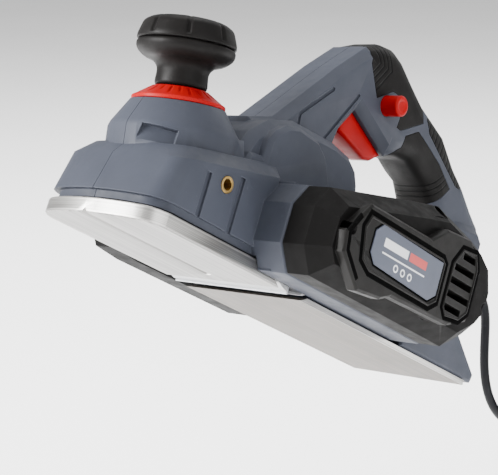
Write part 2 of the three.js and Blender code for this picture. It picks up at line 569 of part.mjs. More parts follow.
piece('cutter_drum', cutterDrum(), ALUMINIUM);
drumSeats.forEach((angle, i) => {
  const half = HALF - 0.8;
  const edge = 1.6;
  piece(`blade_${i + 1}`, drumBox(edge, edge + BLADE.thickness, half, DRUM.radius - 0.1 - BLADE.width,
    DRUM.radius - 0.1, angle), STEEL);
  const wedge = drumBox(-8.6, edge - GAP, half, DRUM.body - seatDepth + GAP, DRUM.body - 3.4, angle);
  piece(`blade_clamp_${i + 1}`, wedge, DARK_STEEL);
});
piece('drum_shaft', turnedY([
  [0, -HALF - 8], [DRUM.shaft, -HALF - 8], [DRUM.shaft, HALF + 17], [0, HALF + 17],
], DRUM.x, DRUM_Z, 20), STEEL);
const bearingPlaces = [
  ['drum_bearing_left', DRUM, DRUM_Z, DRUM.shaft, BEARING.outer, -HALF - 7],
  ['drum_bearing_right', DRUM, DRUM_Z, DRUM.shaft, BEARING.outer, HALF + 0.6],
  ['motor_bearing_rear', MOTOR, MOTOR.z, MOTOR.shaft, BEARING.inner, coverEnd + 3.4],
  ['motor_bearing_drive', MOTOR, MOTOR.z, MOTOR.shaft, BEARING.outer, HALF + 0.6],
];
bearingPlaces.forEach(([name, at, z, shaft, outer, y]) => {
  piece(name, ringY(shaft + GAP, outer, at.x, z, y, y + BEARING.width, 20), STEEL);
});

// ---------------------------------------------------------------- belt drive
const beltY = HALF + 8.6;

/** Open outline round both pulleys at a distance outside their radii. */
function beltLoop(extra) {
  const dx = MOTOR.x - DRUM.x;
  const dz = MOTOR.z - DRUM_Z;
  const apart = Math.hypot(dx, dz);
  const heading = Math.atan2(dz, dx);
  const spread = Math.acos((BELT.drumPulley - BELT.motorPulley) / apart);
  const points = [];
  const arc = (x, z, radius, from, to, steps) => {
    for (let i = 0; i <= steps; i += 1) {
      const turn = from + (to - from) * i / steps;
      points.push([x + radius * Math.cos(turn), z + radius * Math.sin(turn)]);
    }
  };
  arc(MOTOR.x, MOTOR.z, BELT.motorPulley + extra, heading - spread, heading + spread, 8);
  arc(DRUM.x, DRUM_Z, BELT.drumPulley + extra, heading + spread, heading + 2 * Math.PI - spread, 14);
  return points;
}

function pulley(name, at, z, radius, shaft) {
  const body = turnedY([
    [shaft, beltY - 0.6], [radius + 1, beltY - 0.6], [radius + 1, beltY], [radius, beltY + 0.6],
    [radius, beltY + BELT.width - 0.6], [radius, beltY + BELT.width], [shaft, beltY + BELT.width], [shaft, beltY - 0.6],
  ], at.x, z, 28);
  piece(name, body, DARK_STEEL);
}

pulley('drum_pulley', DRUM, DRUM_Z, BELT.drumPulley, DRUM.shaft + GAP / 3);
pulley('motor_pulley', MOTOR, MOTOR.z, BELT.motorPulley, MOTOR.shaft + GAP / 3);
piece('drive_belt', prismY(beltLoop(BELT.thickness + 0.6), beltY + 1, beltY + BELT.width, 0, [beltLoop(0.6).reverse()]), RUBBER);

function beltCover() {
  const outer = prismY(BELT_COVER_OUTLINE, HALF + GAP, FAR, 3);
  const inner = prismY(inset(BELT_COVER_OUTLINE, BELT_COVER.wall), HALF - 1, FAR - BELT_COVER.wall);
  const bosses = BELT_SCREWS.map(([x, z]) => rodY(SCREW.head + 2, x, z, HALF + 8, FAR - 1, 14));
  const holes = BELT_SCREWS.map(([x, z]) => screwHole(x, z, FAR - 5, -1, BELT_SCREW_LENGTH, 8));
  return cut(union(cut(outer, inner), ...bosses), ...holes);
}

piece('belt_cover', beltCover(), CHARCOAL);
BELT_SCREWS.forEach(([x, z], i) => {
  screwY(`belt_cover_screw_${i + 1}`, x, z, FAR - 5, -1, BELT_SCREW_LENGTH);
});

// ---------------------------------------------------------------- motor
const coreStart = MOTOR.inner + 2;
const coreEnd = MOTOR.inner + MOTOR.length - 2;

function armatureCore() {
  const teeth = 12;
  const outline = [];
  for (let i = 0; i < teeth; i += 1) {
    [[-0.32, 1], [0.32, 1], [0.36, 0.72], [0.64, 0.72]].forEach(([step, share]) => {
      const turn = (i + step) * 2 * Math.PI / teeth;
      outline.push([MOTOR.x + MOTOR.core * share * Math.cos(turn), MOTOR.z + MOTOR.core * share * Math.sin(turn)]);
    });
  }
  return cut(prismY(outline, coreStart, coreEnd), rodY(MOTOR.shaft + GAP / 3, MOTOR.x, MOTOR.z, -100, 100, 16));
}

function coolingFan() {
  const start = coreEnd + 5;
  const disc = ringY(MOTOR.shaft + GAP / 3, MOTOR.stator - 2, MOTOR.x, MOTOR.z, start + 8, start + 10);
  const hub = ringY(MOTOR.shaft + GAP / 3, 8, MOTOR.x, MOTOR.z, start, start + 9, 16);
  const blades = [];
  for (let i = 0; i < 10; i += 1) {
    const blade = new THREE.BoxGeometry(14.5, 9, 1.4).translate(16.6, start + 4.5, 0);
    blades.push(solid(blade.rotateY(i * Math.PI / 5).translate(MOTOR.x, 0, MOTOR.z)));
  }
  return union(disc, hub, ...blades);
}

piece('stator', ringY(MOTOR.core + 0.8, MOTOR.stator, MOTOR.x, MOTOR.z, MOTOR.inner, MOTOR.inner + MOTOR.length, 28), DARK_STEEL);
piece('armature_shaft', turnedY([
  [0, coverEnd + 2.6], [MOTOR.shaft, coverEnd + 2.6], [MOTOR.shaft, HALF + 17.4], [0, HALF + 17.4],
], MOTOR.x, MOTOR.z, 16), STEEL);
piece('armature_core', armatureCore(), COPPER);
piece('commutator', ringY(MOTOR.shaft + GAP / 3, 10, MOTOR.x, MOTOR.z, -70, MOTOR.inner - 3, 24), COPPER);
piece('cooling_fan', coolingFan(), NYLON);
[-1, 1].forEach((side, i) => {
  const along = (from, to) => [MOTOR.x + side * from, MOTOR.x + side * to].sort((a, b) => a - b);
  const holder = cut(
    box(along(12, 27.1), [-70, -62], [MOTOR.z - 5, MOTOR.z + 5]),
    box(along(11, 25.4), [-68.3, -63.7], [MOTOR.z - 3.3, MOTOR.z + 3.3]),
  );
  piece(`brush_holder_${i + 1}`, holder, BRASS);
  piece(`carbon_brush_${i + 1}`, box(along(10.3, 22), [-68, -64], [MOTOR.z - 3, MOTOR.z + 3]), DARK_STEEL);
});

// ---------------------------------------------------------------- switch, trigger and lock button
const SWITCH = { front: 46, rear: 80, low: 132.5, high: 146, half: 6.5 };

/** Helix of wire along +Z from the origin, its ends cut square. */
class Helix extends THREE.Curve {
  constructor(radius, height, turns) {
    super();
    Object.assign(this, { radius, height, turns });
  }

  getPoint(t, target = new THREE.Vector3()) {
    const turn = 2 * Math.PI * this.turns * t;
    return target.set(this.radius * Math.cos(turn), this.radius * Math.sin(turn), this.height * t);
  }
}

/** Coil spring along +Z, standing on the origin. */
function spring(radius, wire, height, turns) {
  const section = [];
  for (let i = 0; i < 6; i += 1) {
    section.push(new THREE.Vector2(wire * Math.cos(i * Math.PI / 3), wire * Math.sin(i * Math.PI / 3)));
  }
  const extrudePath = new Helix(radius, height - 2 * wire, turns);
  const options = { steps: turns * 10, bevelEnabled: false, extrudePath };
  return new THREE.ExtrudeGeometry(new THREE.Shape(section), options).translate(0, 0, wire);
}

const triggerPinHole = rodY(2 + GAP, TRIGGER.pivotX, TRIGGER.pivotZ, -50, 50, 12);
const trigger = prismY(TRIGGER_OUTLINE, -TRIGGER.half, TRIGGER.half, TRIGGER.rounding, [], 3);
piece('trigger', cut(trigger, triggerPinHole), RED);
piece('trigger_pin', rodY(2, TRIGGER.pivotX, TRIGGER.pivotZ, -inside + GAP, inside - GAP, 12), STEEL);
piece('switch_body', box([SWITCH.front, SWITCH.rear], [-SWITCH.half, SWITCH.half], [SWITCH.low, SWITCH.high]), CHARCOAL);
piece('trigger_spring', solid(spring(3, 0.6, SWITCH.low - 118.5 - 2 * GAP, 4).translate(64, 0, 118.5 + GAP)), STEEL);

const buttonFace = -HANDLE.half - BUTTON.proud;
piece('lock_button', turnedY([
  [0, buttonFace], [BUTTON.radius - 0.8, buttonFace], [BUTTON.radius, buttonFace + 0.8],
  [BUTTON.radius, -inside + GAP], [BUTTON.radius + 1.6, -inside + GAP],
  [BUTTON.radius + 1.6, -inside + 1.6], [0, -inside + 1.6],
], BUTTON.x, BUTTON.z, 24), RED);

// ---------------------------------------------------------------- rubber grips
['grip_upper', 'grip_lower', 'grip_back'].forEach((name, i) => piece(name, grip(gripZones[i]), RUBBER));

// ---------------------------------------------------------------- cord
const CORD_ROUTE = [
  [221.8, 0, 69.9], [225.4, 0, 67.8], [228.8, 0, 65], [231.8, 0, 61.3], [234.4, 0, 56.8], [236.6, 0, 51.6],
  [238.8, 0, 45.8], [241.4, 0, 39.4], [244.4, 0, 32.6], [248, 0, 26], [252.6, 0, 19.7], [258.2, 0, 14.2],
  [264.8, 0, 9.6], [272.4, 0, 6.2], [280.8, 0, 4], [287, 0, 3.2], [292.6, 0, 3],
];
const COIL = { x: 320, y: -38 };
const coilTop = CORD.tie + GAP + CORD.layers * CORD.diameter;

function powerCord() {
  const shift = new THREE.Vector3(GAP, 0, -GAP / 2);
  const points = CORD_ROUTE.map((p, i) => new THREE.Vector3(...p).addScaledVector(shift, i === 0 ? 1 : 0));
  const section = [];
  for (let i = 0; i < 8; i += 1) {
    const turn = (i + 0.5) * Math.PI / 4;
    section.push(new THREE.Vector2(Math.cos(turn), Math.sin(turn)).multiplyScalar(CORD.diameter / 2));
  }
  const extrudePath = new THREE.CatmullRomCurve3(points, false, 'centripetal');
  return new THREE.ExtrudeGeometry(new THREE.Shape(section), { steps: 24, bevelEnabled: false, extrudePath });
}

function coilRing() {
  const [inner, outer, foot] = [CORD.coilInner, CORD.coilOuter, CORD.tie + GAP];
  const profile = [[inner, foot], [outer, foot], [outer, coilTop], [inner, coilTop], [inner, foot]];
  const points = profile.map(([r, z]) => new THREE.Vector2(r, z));
  return solid(new THREE.LatheGeometry(points, 40).rotateX(Math.PI / 2).translate(COIL.x, COIL.y, 0));
}

function cordTie() {
  const [inner, outer] = [CORD.coilInner - 1, CORD.coilOuter + GAP];
  const half = CORD.tieWidth / 2;
  const { x, y } = COIL;
  const band = (grow) => box([x + inner - grow, x + outer + grow], [y - half - grow, y + half + grow],
    [CORD.tie - grow, coilTop + GAP + grow]);
  const slot = box([x + inner, x + outer], [y - half - 2, y + half + 2], [CORD.tie, coilTop + GAP]);
  return cut(band(CORD.tie), slot);
}

/** Flat two-pin plug, lying beside the coil with its pins towards -X. */
function plug() {
  const { neck, neckLength, width, height, length, pin, pinLength, pitch } = PLUG;
  const turn = CORD.coilOuter - CORD.diameter / 2;
  const back = COIL.x - Math.sqrt(CORD.coilOuter ** 2 - (turn - neck) ** 2) - GAP;
  const y = COIL.y - turn;
  const z = height / 2;
  const faceX = back - neckLength - length;
  const oval = (x, a, b) => {
    const points = [];
    for (let i = 0; i < 12; i += 1) {
      const angle = i * Math.PI / 6;
      points.push([x, y + a * Math.cos(angle), z + b * Math.sin(angle)]);
    }
    return points;
  };
  const tail = hull([...oval(back, neck - 0.6, neck - 0.6), ...oval(back - neckLength - 2, neck + 1, neck + 1)]);
  const shoulder = back - neckLength - length * 0.4;
  const body = hull([
    ...oval(back - neckLength, neck + 1, neck + 1), ...oval(shoulder, width / 2, height / 2),
    ...oval(faceX, width / 2, height / 2),
  ]);
  const pins = [-1, 1].map((side) => {
    const rod = new THREE.CylinderGeometry(pin, pin, pinLength + 2, 12).rotateZ(Math.PI / 2);
    return solid(rod.translate(faceX - pinLength / 2 + 1, y + side * pitch / 2, z));
  });
  return union(tail, body, ...pins);
}

const { root: reliefRoot, tip: reliefTip, length: reliefLength } = RELIEF;
piece('strain_relief', onRelief([
  [0, -6], [8, -6], [8, -3], [6, -3], [6, 7], [reliefRoot, 7], [reliefRoot, 10],
  [reliefTip, reliefLength], [0, reliefLength],
]), RUBBER);
piece('power_cord', solid(powerCord()), CORD_BLACK);
piece('cord_coil', coilRing(), CORD_BLACK);
piece('cord_tie', cordTie(), CORD_BLACK);
piece('plug', plug(), CORD_BLACK);

planer.position.x = -REAR_SOLE.length / 2;
const group = new THREE.Group();
group.add(planer);
export default group;
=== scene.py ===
"""Looks of an electric hand planer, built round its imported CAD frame.

Every size is in metres, in the frame of the CAD model: +X to the tail, -Y the motor side, +Z up
from the rear sole. Moulded shells are the CAD shells with their edges eased. Turned, swept and
wound pieces are worked out here as surfaces.
"""

import json
import logging
import math
from dataclasses import dataclass, field
from enum import Enum
from itertools import product
from typing import Callable, Sequence

import bmesh
import bpy
import numpy as np
from mathutils import Matrix, Vector

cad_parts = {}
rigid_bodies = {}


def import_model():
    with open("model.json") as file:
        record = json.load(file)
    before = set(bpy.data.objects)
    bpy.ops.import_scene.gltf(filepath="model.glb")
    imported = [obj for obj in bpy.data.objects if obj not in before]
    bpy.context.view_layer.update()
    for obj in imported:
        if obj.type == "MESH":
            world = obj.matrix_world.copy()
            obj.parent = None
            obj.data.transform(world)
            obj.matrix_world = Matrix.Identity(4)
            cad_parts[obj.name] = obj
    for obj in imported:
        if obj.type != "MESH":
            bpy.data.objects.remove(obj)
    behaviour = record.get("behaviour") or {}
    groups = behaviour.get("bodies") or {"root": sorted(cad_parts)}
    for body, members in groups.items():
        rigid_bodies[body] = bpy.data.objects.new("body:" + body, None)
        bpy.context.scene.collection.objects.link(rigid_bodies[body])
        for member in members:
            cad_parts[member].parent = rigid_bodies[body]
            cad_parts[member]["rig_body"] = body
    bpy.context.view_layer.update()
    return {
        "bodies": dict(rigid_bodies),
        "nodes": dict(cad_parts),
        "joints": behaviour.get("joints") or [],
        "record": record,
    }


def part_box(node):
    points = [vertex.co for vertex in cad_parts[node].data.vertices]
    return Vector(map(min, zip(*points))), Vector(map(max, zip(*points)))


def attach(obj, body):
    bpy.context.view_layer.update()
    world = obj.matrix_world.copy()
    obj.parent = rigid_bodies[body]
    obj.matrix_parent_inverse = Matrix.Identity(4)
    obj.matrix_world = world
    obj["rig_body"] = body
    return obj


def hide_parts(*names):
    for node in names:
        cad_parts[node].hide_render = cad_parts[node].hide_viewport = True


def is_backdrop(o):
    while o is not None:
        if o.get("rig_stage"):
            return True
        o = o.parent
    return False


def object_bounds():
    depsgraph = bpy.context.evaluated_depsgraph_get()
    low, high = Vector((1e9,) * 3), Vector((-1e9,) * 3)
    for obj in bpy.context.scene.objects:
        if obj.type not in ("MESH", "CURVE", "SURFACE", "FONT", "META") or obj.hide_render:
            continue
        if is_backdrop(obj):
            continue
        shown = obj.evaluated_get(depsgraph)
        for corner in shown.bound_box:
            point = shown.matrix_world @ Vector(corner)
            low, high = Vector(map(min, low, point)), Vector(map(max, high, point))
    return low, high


LOG = logging.getLogger("planer")
MM = 0.001
MOUTH_X = -83 * MM  # where the front edge of the rear sole lies in the frame

SMOOTH_BELOW = 32.0  # edges of the CAD shells that turn by less, in degrees, are shaded smooth

Colour = tuple[float, float, float]
Point = tuple[float, float, float]
Flat = tuple[float, float]
Array = np.ndarray
Object = bpy.types.Object
Material = bpy.types.Material
Socket = bpy.types.NodeSocket


def at(x: float, y: float, z: float) -> Array:
    """Point given in millimetres from the mouth, as metres in the frame."""
    return np.array([x * MM + MOUTH_X, y * MM, z * MM])


# ---------------------------------------------------------------- meshes
def placed(name: str, data: bpy.types.ID) -> Object:
    """New object that holds a mesh, a camera or a light, linked to the scene."""
    made = bpy.data.objects.new(name, data)
    bpy.context.scene.collection.objects.link(made)
    return made


def grid_faces(rows: int, columns: int, wrap_rows: bool, wrap_columns: bool) -> Array:
    """Four-sided faces that join the points of a grid.

    Args:
        rows: how many rows of points the grid has.
        columns: how many points each row has.
        wrap_rows: whether the last row joins the first.
        wrap_columns: whether the last point of a row joins its first.

    Returns:
        An array of four point numbers a face.
    """
    i, j = np.meshgrid(
        np.arange(rows if wrap_rows else rows - 1),
        np.arange(columns if wrap_columns else columns - 1),
        indexing="ij",
    )
    i2, j2 = (i + 1) % rows, (j + 1) % columns
    corners = [i * columns + j, i * columns + j2, i2 * columns + j2, i2 * columns + j]
    return np.stack([c.ravel() for c in corners], axis=1)


def end_faces(rings: int, corners: int) -> list[list[int]]:
    """Faces that close the first and the last ring of a grid.

    Args:
        rings: how many rings the grid has.
        corners: how many points each ring has.

    Returns:
        Two lists of point numbers.
    """
    return [list(range(corners))[::-1], list(range((rings - 1) * corners, rings * corners))]


def mesh_object(
    name: str, points: Array, faces: Array, smooth_below: float = 35.0
) -> Object:
    """Closed mesh object at the origin, with its doubles merged and its faces turned outwards.

    Args:
        name: the piece's name.
        points: an array of points, three numbers each.
        faces: an array of point numbers, one row a face.
        smooth_below: edges that turn by less than this many degrees are shaded smooth.

    Returns:
        The new object, linked to the scene.
    """
    mesh = bpy.data.meshes.new(name)
    mesh.from_pydata(np.asarray(points).reshape(-1, 3), [], faces)
    bm = bmesh.new()
    bm.from_mesh(mesh)
    bmesh.ops.remove_doubles(bm, verts=bm.verts, dist=1e-6)
    bmesh.ops.dissolve_degenerate(bm, edges=bm.edges, dist=1e-7)
    bmesh.ops.recalc_face_normals(bm, faces=bm.faces)
    bm.to_mesh(mesh)
    bm.free()
    smooth_shade(mesh, smooth_below)
    return placed(name, mesh)


def smooth_shade(mesh: bpy.types.Mesh, below: float) -> None:
    """Shades a mesh smooth, except across edges that turn by more than below degrees."""
    mesh.polygons.foreach_set("use_smooth", np.ones(len(mesh.polygons), bool))
    mesh.set_sharp_from_angle(angle=math.radians(below))
    mesh.update()


def eased(profile: Sequence[Flat], radius: float, steps: int = 4) -> Array:
    """Profile with each inner corner replaced by a parabola that touches both of its sides.

    Between a and b about corner c, a point is (1-t)^2 a + 2t(1-t) c + t^2 b.

    Args:
        profile: corners as (radius, height) in millimetres.
        radius: how far from the corner the curve starts, at most 0.45 of a side.
        steps: how many spans each curve has.

    Returns:
        The points of the eased profile, in millimetres.
    """
    corners = np.array(profile, float)
    before, here, after = corners[:-2], corners[1:-1], corners[2:]

    def start(other: Array) -> Array:
        """Where a curve meets the side that runs from its corner to another one."""
        length = np.linalg.norm(other - here, axis=1)[:, None]
        return here + (other - here) / length * np.minimum(radius, 0.45 * length)

    a, b = start(before), start(after)
    t = np.linspace(0, 1, steps + 1)[None, :, None]
    curves = (1 - t) ** 2 * a[:, None] + 2 * t * (1 - t) * here[:, None] + t**2 * b[:, None]
    return np.vstack([corners[:1], curves.reshape(-1, 2), corners[-1:]])


def densified(profile: Array, spans: int) -> Array:
    """Profile with each of its sides cut into equal spans.

    Args:
        profile: points as (radius, height) in millimetres.
        spans: how many spans each side is cut into.

    Returns:
        The points of the finer profile.
    """
    sides = [np.linspace(a, b, spans + 1)[:-1] for a, b in zip(profile[:-1], profile[1:])]
    return np.vstack([*sides, profile[-1:]])


def turned(
    name: str,
    profile: Array,
    frame: Matrix,
    sides: int = 96,
    shrink: Callable[[Array, Array], Array] | None = None,
) -> Object:
    """Surface of revolution: (r cos u, r sin u, s) along a profile of (r, s), set in place by a frame.

    Args:
        name: the piece's name.
        profile: (radius, height) points in millimetres, closed on itself or ending on the axis.
        frame: turns and moves the piece, in metres.
        sides: how many steps round the axis.
        shrink: millimetres taken off the radius, from arrays of angle and height.

    Returns:
        The new object.
    """
    u = np.linspace(0, 2 * np.pi, sides, endpoint=False)[None, :]
    radius = np.repeat(profile[:, :1], sides, axis=1)
    height = np.repeat(profile[:, 1:], sides, axis=1)
    if shrink is not None:
        thinner = np.maximum(radius - shrink(u + 0 * radius, height), 0.5)
        radius = np.where(radius > 1, thinner, radius)
    points = np.stack([radius * np.cos(u), radius * np.sin(u), height], axis=-1) * MM
    matrix = np.array(frame)
    points = points.reshape(-1, 3) @ matrix[:3, :3].T + matrix[:3, 3]
    return mesh_object(name, points, grid_faces(len(profile), sides, False, True))


def swept(
    name: str, line: Array, section: Array, up: Array, closed: bool
) -> Object:
    """Section carried along a flat line: point + across * a + up * b for each (a, b) of the section.

    Args:
        name: the piece's name.
        line: points of the line, in metres.
        section: (across, up) points in millimetres, anticlockwise.
        up: the direction that the section's second number runs in.
        closed: whether the line closes on itself.

    Returns:
        The new object.
    """
    before = np.roll(line, 1, axis=0) if closed else np.vstack([2 * line[0] - line[1], line[:-1]])
    after = np.roll(line, -1, axis=0) if closed else np.vstack([line[1:], 2 * line[-1] - line[-2]])
    into, out = line - before, after - line
    into /= np.linalg.norm(into, axis=1)[:, None]
    out /= np.linalg.norm(out, axis=1)[:, None]
    across = np.cross(into + out, up)
    across /= np.linalg.norm(across, axis=1)[:, None]
    miter = 1 / np.maximum(np.sqrt((1 + (into * out).sum(1)) / 2), 0.5)
    rings = (
        line[:, None]
        + across[:, None] * (section[None, :, :1] * miter[:, None, None]) * MM
        + up[None, None] * section[None, :, 1:] * MM
    )
    count, corners = len(line), len(section)
    faces = grid_faces(count, corners, closed, True).tolist()
    if not closed:
        faces += end_faces(count, corners)
    return mesh_object(name, rings, faces)


def tube(name: str, line: Array, radius: float, sides: int = 14) -> Object:
    """Round tube with closed ends: line + radius (side cos u + rise sin u), on frames square to the line.

    Args:
        name: the piece's name.
        line: points along the middle, in metres.
        radius: in metres.
        sides: how many steps round it.

    Returns:
        The new object.
    """
    tangent = np.gradient(line, axis=0)
    tangent /= np.linalg.norm(tangent, axis=1)[:, None]
    side = np.cross(tangent, [0.0, 0.0, 1.0])
    side /= np.linalg.norm(side, axis=1)[:, None]
    rise = np.cross(side, tangent)
    u = np.linspace(0, 2 * np.pi, sides, endpoint=False)[None, :, None]
    rings = line[:, None] + radius * (side[:, None] * np.cos(u) + rise[:, None] * np.sin(u))
    faces = grid_faces(len(line), sides, False, True).tolist() + end_faces(len(line), sides)
    return mesh_object(name, rings, faces, 60)


def merge_flat_faces(bm: bmesh.types.BMesh, mesh: bpy.types.Mesh) -> bool:
    """Merges the triangles of flat faces, unless a face with holes in it would come out wrong.

    Args:
        bm: the triangles, which are left as they are.
        mesh: gets the merged faces, or the triangles.

    Returns:
        Whether the faces were merged and still enclose the same volume.
    """
    flat = math.radians(0.6)
    volume = bm.calc_volume()
    bm.to_mesh(mesh)
    whole = bm.copy()
    bmesh.ops.dissolve_limit(whole, angle_limit=flat, verts=whole.verts, edges=whole.edges)
    merged = whole.copy()
    bmesh.ops.triangulate(whole, faces=whole.faces)
    same = abs(whole.calc_volume() - volume) < 2e-4 * abs(volume)
    if same:
        merged.to_mesh(mesh)
    merged.free()
    whole.free()
    return same


def cad_skin(node: str, name: str, ease: float, smooth_below: float = SMOOTH_BELOW) -> Object:
    """Copy of a CAD node with whole faces and eased edges, which stands for the node.

    Args:
        node: the CAD node's name.
        name: the new piece's name.
        ease: width of the eased edges, in millimetres.
        smooth_below: edges that turn by less than this many degrees are shaded smooth.

    Returns:
        The new object, riding where the node rides.
    """
    source = bpy.data.objects[node]
    mesh = source.data.copy()
    mesh.name = name
    mesh.materials.clear()
    bm = bmesh.new()
    bm.from_mesh(mesh)
    bmesh.ops.remove_doubles(bm, verts=bm.verts, dist=2e-6)
    if ease > 0:
        ease = ease if merge_flat_faces(bm, mesh) else 0.0
    else:
        bm.to_mesh(mesh)
    bm.free()
    piece = placed(name, mesh)
    smooth_shade(mesh, smooth_below)
    LOG.info("%s: edges eased by %.1f mm", name, ease)
    if ease > 0:
        bevel = piece.modifiers.new("eased_edges", "BEVEL")
        bevel.width = ease * MM
        bevel.segments = 2
        bevel.limit_method = "ANGLE"
        bevel.angle_limit = math.radians(smooth_below)
        bevel.harden_normals = True
        bevel.use_clamp_overlap = True
        bevel.miter_outer = "MITER_ARC"
    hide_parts(node)
    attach(piece, source["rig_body"])
    return piece


# ---------------------------------------------------------------- finishes
class Graph:
    """The node tree of one material, with a Principled shader at its end."""

    def __init__(self, name: str) -> None:
        """Starts an empty material of that name."""
        self.material = bpy.data.materials.new(name)
        self.material.use_nodes = True
        self.tree = self.material.node_tree
        self.tree.nodes.clear()
        output = self.tree.nodes.new("ShaderNodeOutputMaterial")
        self.shader = self.tree.nodes.new("ShaderNodeBsdfPrincipled")
        self.tree.links.new(self.shader.outputs["BSDF"], output.inputs["Surface"])
        self.place = self.tree.nodes.new("ShaderNodeTexCoord").outputs["Object"]

    def node(self, kind: str, **settings: object) -> bpy.types.Node:
        """New node of a kind, with its settings."""
        made = self.tree.nodes.new(kind)
        for key, value in settings.items():
            setattr(made, key, value)
        return made

    def feed(self, socket: Socket, value: object) -> None:
        """Links an output to a socket, or sets the socket to a plain value."""
        if isinstance(value, Socket):
            self.tree.links.new(value, socket)
        else:
            socket.default_value = value

    def mapped(self, stretch: Point) -> Socket:
        """Place on the piece, stretched along its axes."""
        mapping = self.node("ShaderNodeMapping")
        self.feed(mapping.inputs["Vector"], self.place)
        self.feed(mapping.inputs["Scale"], stretch)
        return mapping.outputs["Vector"]

    def noise(self, scale: float, detail: float = 3, place: Socket | None = None) -> Socket:
        """Cloudy value from 0 to 1, of about 1/scale metres."""
        made = self.node("ShaderNodeTexNoise")
        self.feed(made.inputs["Vector"], place or self.place)
        self.feed(made.inputs["Scale"], scale)
        self.feed(made.inputs["Detail"], detail)
        return made.outputs[0]

    def cells(self, scale: float) -> Socket:
        """Distance to the middle of small cells of about 1/scale metres."""
        made = self.node("ShaderNodeTexVoronoi")
        self.feed(made.inputs["Vector"], self.place)
        self.feed(made.inputs["Scale"], scale)
        return made.outputs["Distance"]

    def worked(self, operation: str, a: object, b: object = 0.0) -> Socket:
        """Result of a Math node."""
        made = self.node("ShaderNodeMath", operation=operation)
        self.feed(made.inputs[0], a)
        self.feed(made.inputs[1], b)
        return made.outputs[0]

    def plus(self, a: object, b: object) -> Socket:
        """a plus b."""
        return self.worked("ADD", a, b)

    def minus(self, a: object, b: object) -> Socket:
        """a less b."""
        return self.worked("SUBTRACT", a, b)

    def times(self, a: object, b: object) -> Socket:
        """a times b."""
        return self.worked("MULTIPLY", a, b)

    def wave(self, place: Socket, pitch: float) -> Socket:
        """Sine of a place, which repeats every pitch millimetres."""
        return self.worked("SINE", self.times(place, 2 * math.pi / (pitch * MM)))

    def spread(self, value: Socket, low: float, high: float, to_low: float, to_high: float) -> Socket:
        """Value carried from one range to another, and held inside it."""
        made = self.node("ShaderNodeMapRange")
        ends = {"From Min": low, "From Max": high, "To Min": to_low, "To Max": to_high}
        for key, number in ends.items():
            self.feed(made.inputs[key], number)
        self.feed(made.inputs["Value"], value)
        return made.outputs["Result"]

    def blend(self, share: object, first: object, second: object) -> Socket:
        """Mix of two colours by a share from 0 to 1."""
        made = self.node("ShaderNodeMix", data_type="RGBA")
        self.feed(made.inputs["Factor"], share)
        self.feed(made.inputs[6], first)
        self.feed(made.inputs[7], second)
        return made.outputs[2]

    def split(self) -> list[Socket]:
        """X, Y and Z of the place on the piece."""
        made = self.node("ShaderNodeSeparateXYZ")
        self.feed(made.inputs[0], self.place)
        return [made.outputs[0], made.outputs[1], made.outputs[2]]

    def rounded(self, radius: float) -> Socket:
        """Normal that turns softly over edges."""
        made = self.node("ShaderNodeBevel", samples=6)
        self.feed(made.inputs["Radius"], radius)
        return made.outputs["Normal"]

    def edges(self, radius: float) -> Socket:
        """Share from 0 to 1 that rises near edges, as the softened normal leans off the true one."""
        geometry = self.node("ShaderNodeNewGeometry")
        dot = self.node("ShaderNodeVectorMath", operation="DOT_PRODUCT")
        self.feed(dot.inputs[0], self.rounded(radius))
        self.feed(dot.inputs[1], geometry.outputs["Normal"])
        return self.spread(dot.outputs["Value"], 0.995, 0.86, 0.0, 1.0)

    def bump(self, height: Socket, depth: float, strength: float, normal: Socket | None = None) -> Socket:
        """Normal pushed by a height of at most depth metres."""
        made = self.node("ShaderNodeBump")
        self.feed(made.inputs["Height"], height)
        self.feed(made.inputs["Distance"], depth)
        self.feed(made.inputs["Strength"], strength)
        if normal is not None:
            self.feed(made.inputs["Normal"], normal)
        return made.outputs["Normal"]

    def finish(
        self, colour: object, rough: object, normal: object, metallic: float = 0.0, specular: float = 0.5
    ) -> Material:
        """Feeds the shader and returns the material."""
        fed = {
            "Base Color": colour,
            "Roughness": rough,
            "Normal": normal,
            "Metallic": metallic,
            "Specular IOR Level": specular,
        }
        for title, value in fed.items():
            self.feed(self.shader.inputs[title], value)
        return self.material


def opaque(colour: Colour, gain: float = 1.0) -> tuple[float, float, float, float]:
    """Colour with its strength changed, and alpha 1."""
    return (colour[0] * gain, colour[1] * gain, colour[2] * gain, 1.0)


def paled(colour: Colour, gain: float, lift: float) -> tuple[float, float, float, float]:
    """Colour multiplied by a gain and lifted towards white, at most 1, with alpha 1."""
    return opaque(tuple(min(1, c * gain + lift) for c in colour))


@dataclass(frozen=True)
class MouldedPlastic:
    """Spark-eroded moulded plastic: fine grain, faint cloudiness, and edges a little paler, partly from wear
    and partly as a painted highlight.
    """

    name: str
    colour: Colour
    roughness: float = 0.5
    grain: float = 1500.0
    grain_depth: float = 0.00006
    edge_wear_and_highlight: float = 0.35
    specular: float = 0.5

    def make(self) -> Material:
        """Builds the material."""
        g = Graph(self.name)
        cloud = g.noise(26, 4)
        body = g.blend(g.spread(cloud, 0.35, 0.65, 0, 1), opaque(self.colour, 0.9), opaque(self.colour, 1.1))
        dust = g.spread(g.noise(420, 5), 0.66, 0.78, 0, 0.25)
        body = g.blend(dust, body, paled(self.colour, 1.5, 0.02))
        # Paler edges: wear, and a painted highlight along every edge.
        wear_and_highlight = g.times(g.edges(0.0011), g.spread(g.noise(90, 4), 0.4, 0.6, 0.2, self.edge_wear_and_highlight))
        body = g.blend(wear_and_highlight, body, paled(self.colour, 1.6, 0.03))
        rough = g.spread(g.noise(140, 4), 0.3, 0.7, self.roughness - 0.07, self.roughness + 0.07)
        relief = g.bump(g.noise(self.grain, 2), self.grain_depth, 0.35, g.rounded(0.0006))
        relief = g.bump(g.noise(18, 1), 0.0004, 0.06, relief)
        return g.finish(body, rough, relief, specular=self.specular)


class Rib(Enum):
    """Pattern that a rubber grip is moulded with."""

    NONE = "none"
    CHEVRON = "chevron"
    RINGS = "rings"
    STRIPES = "stripes"


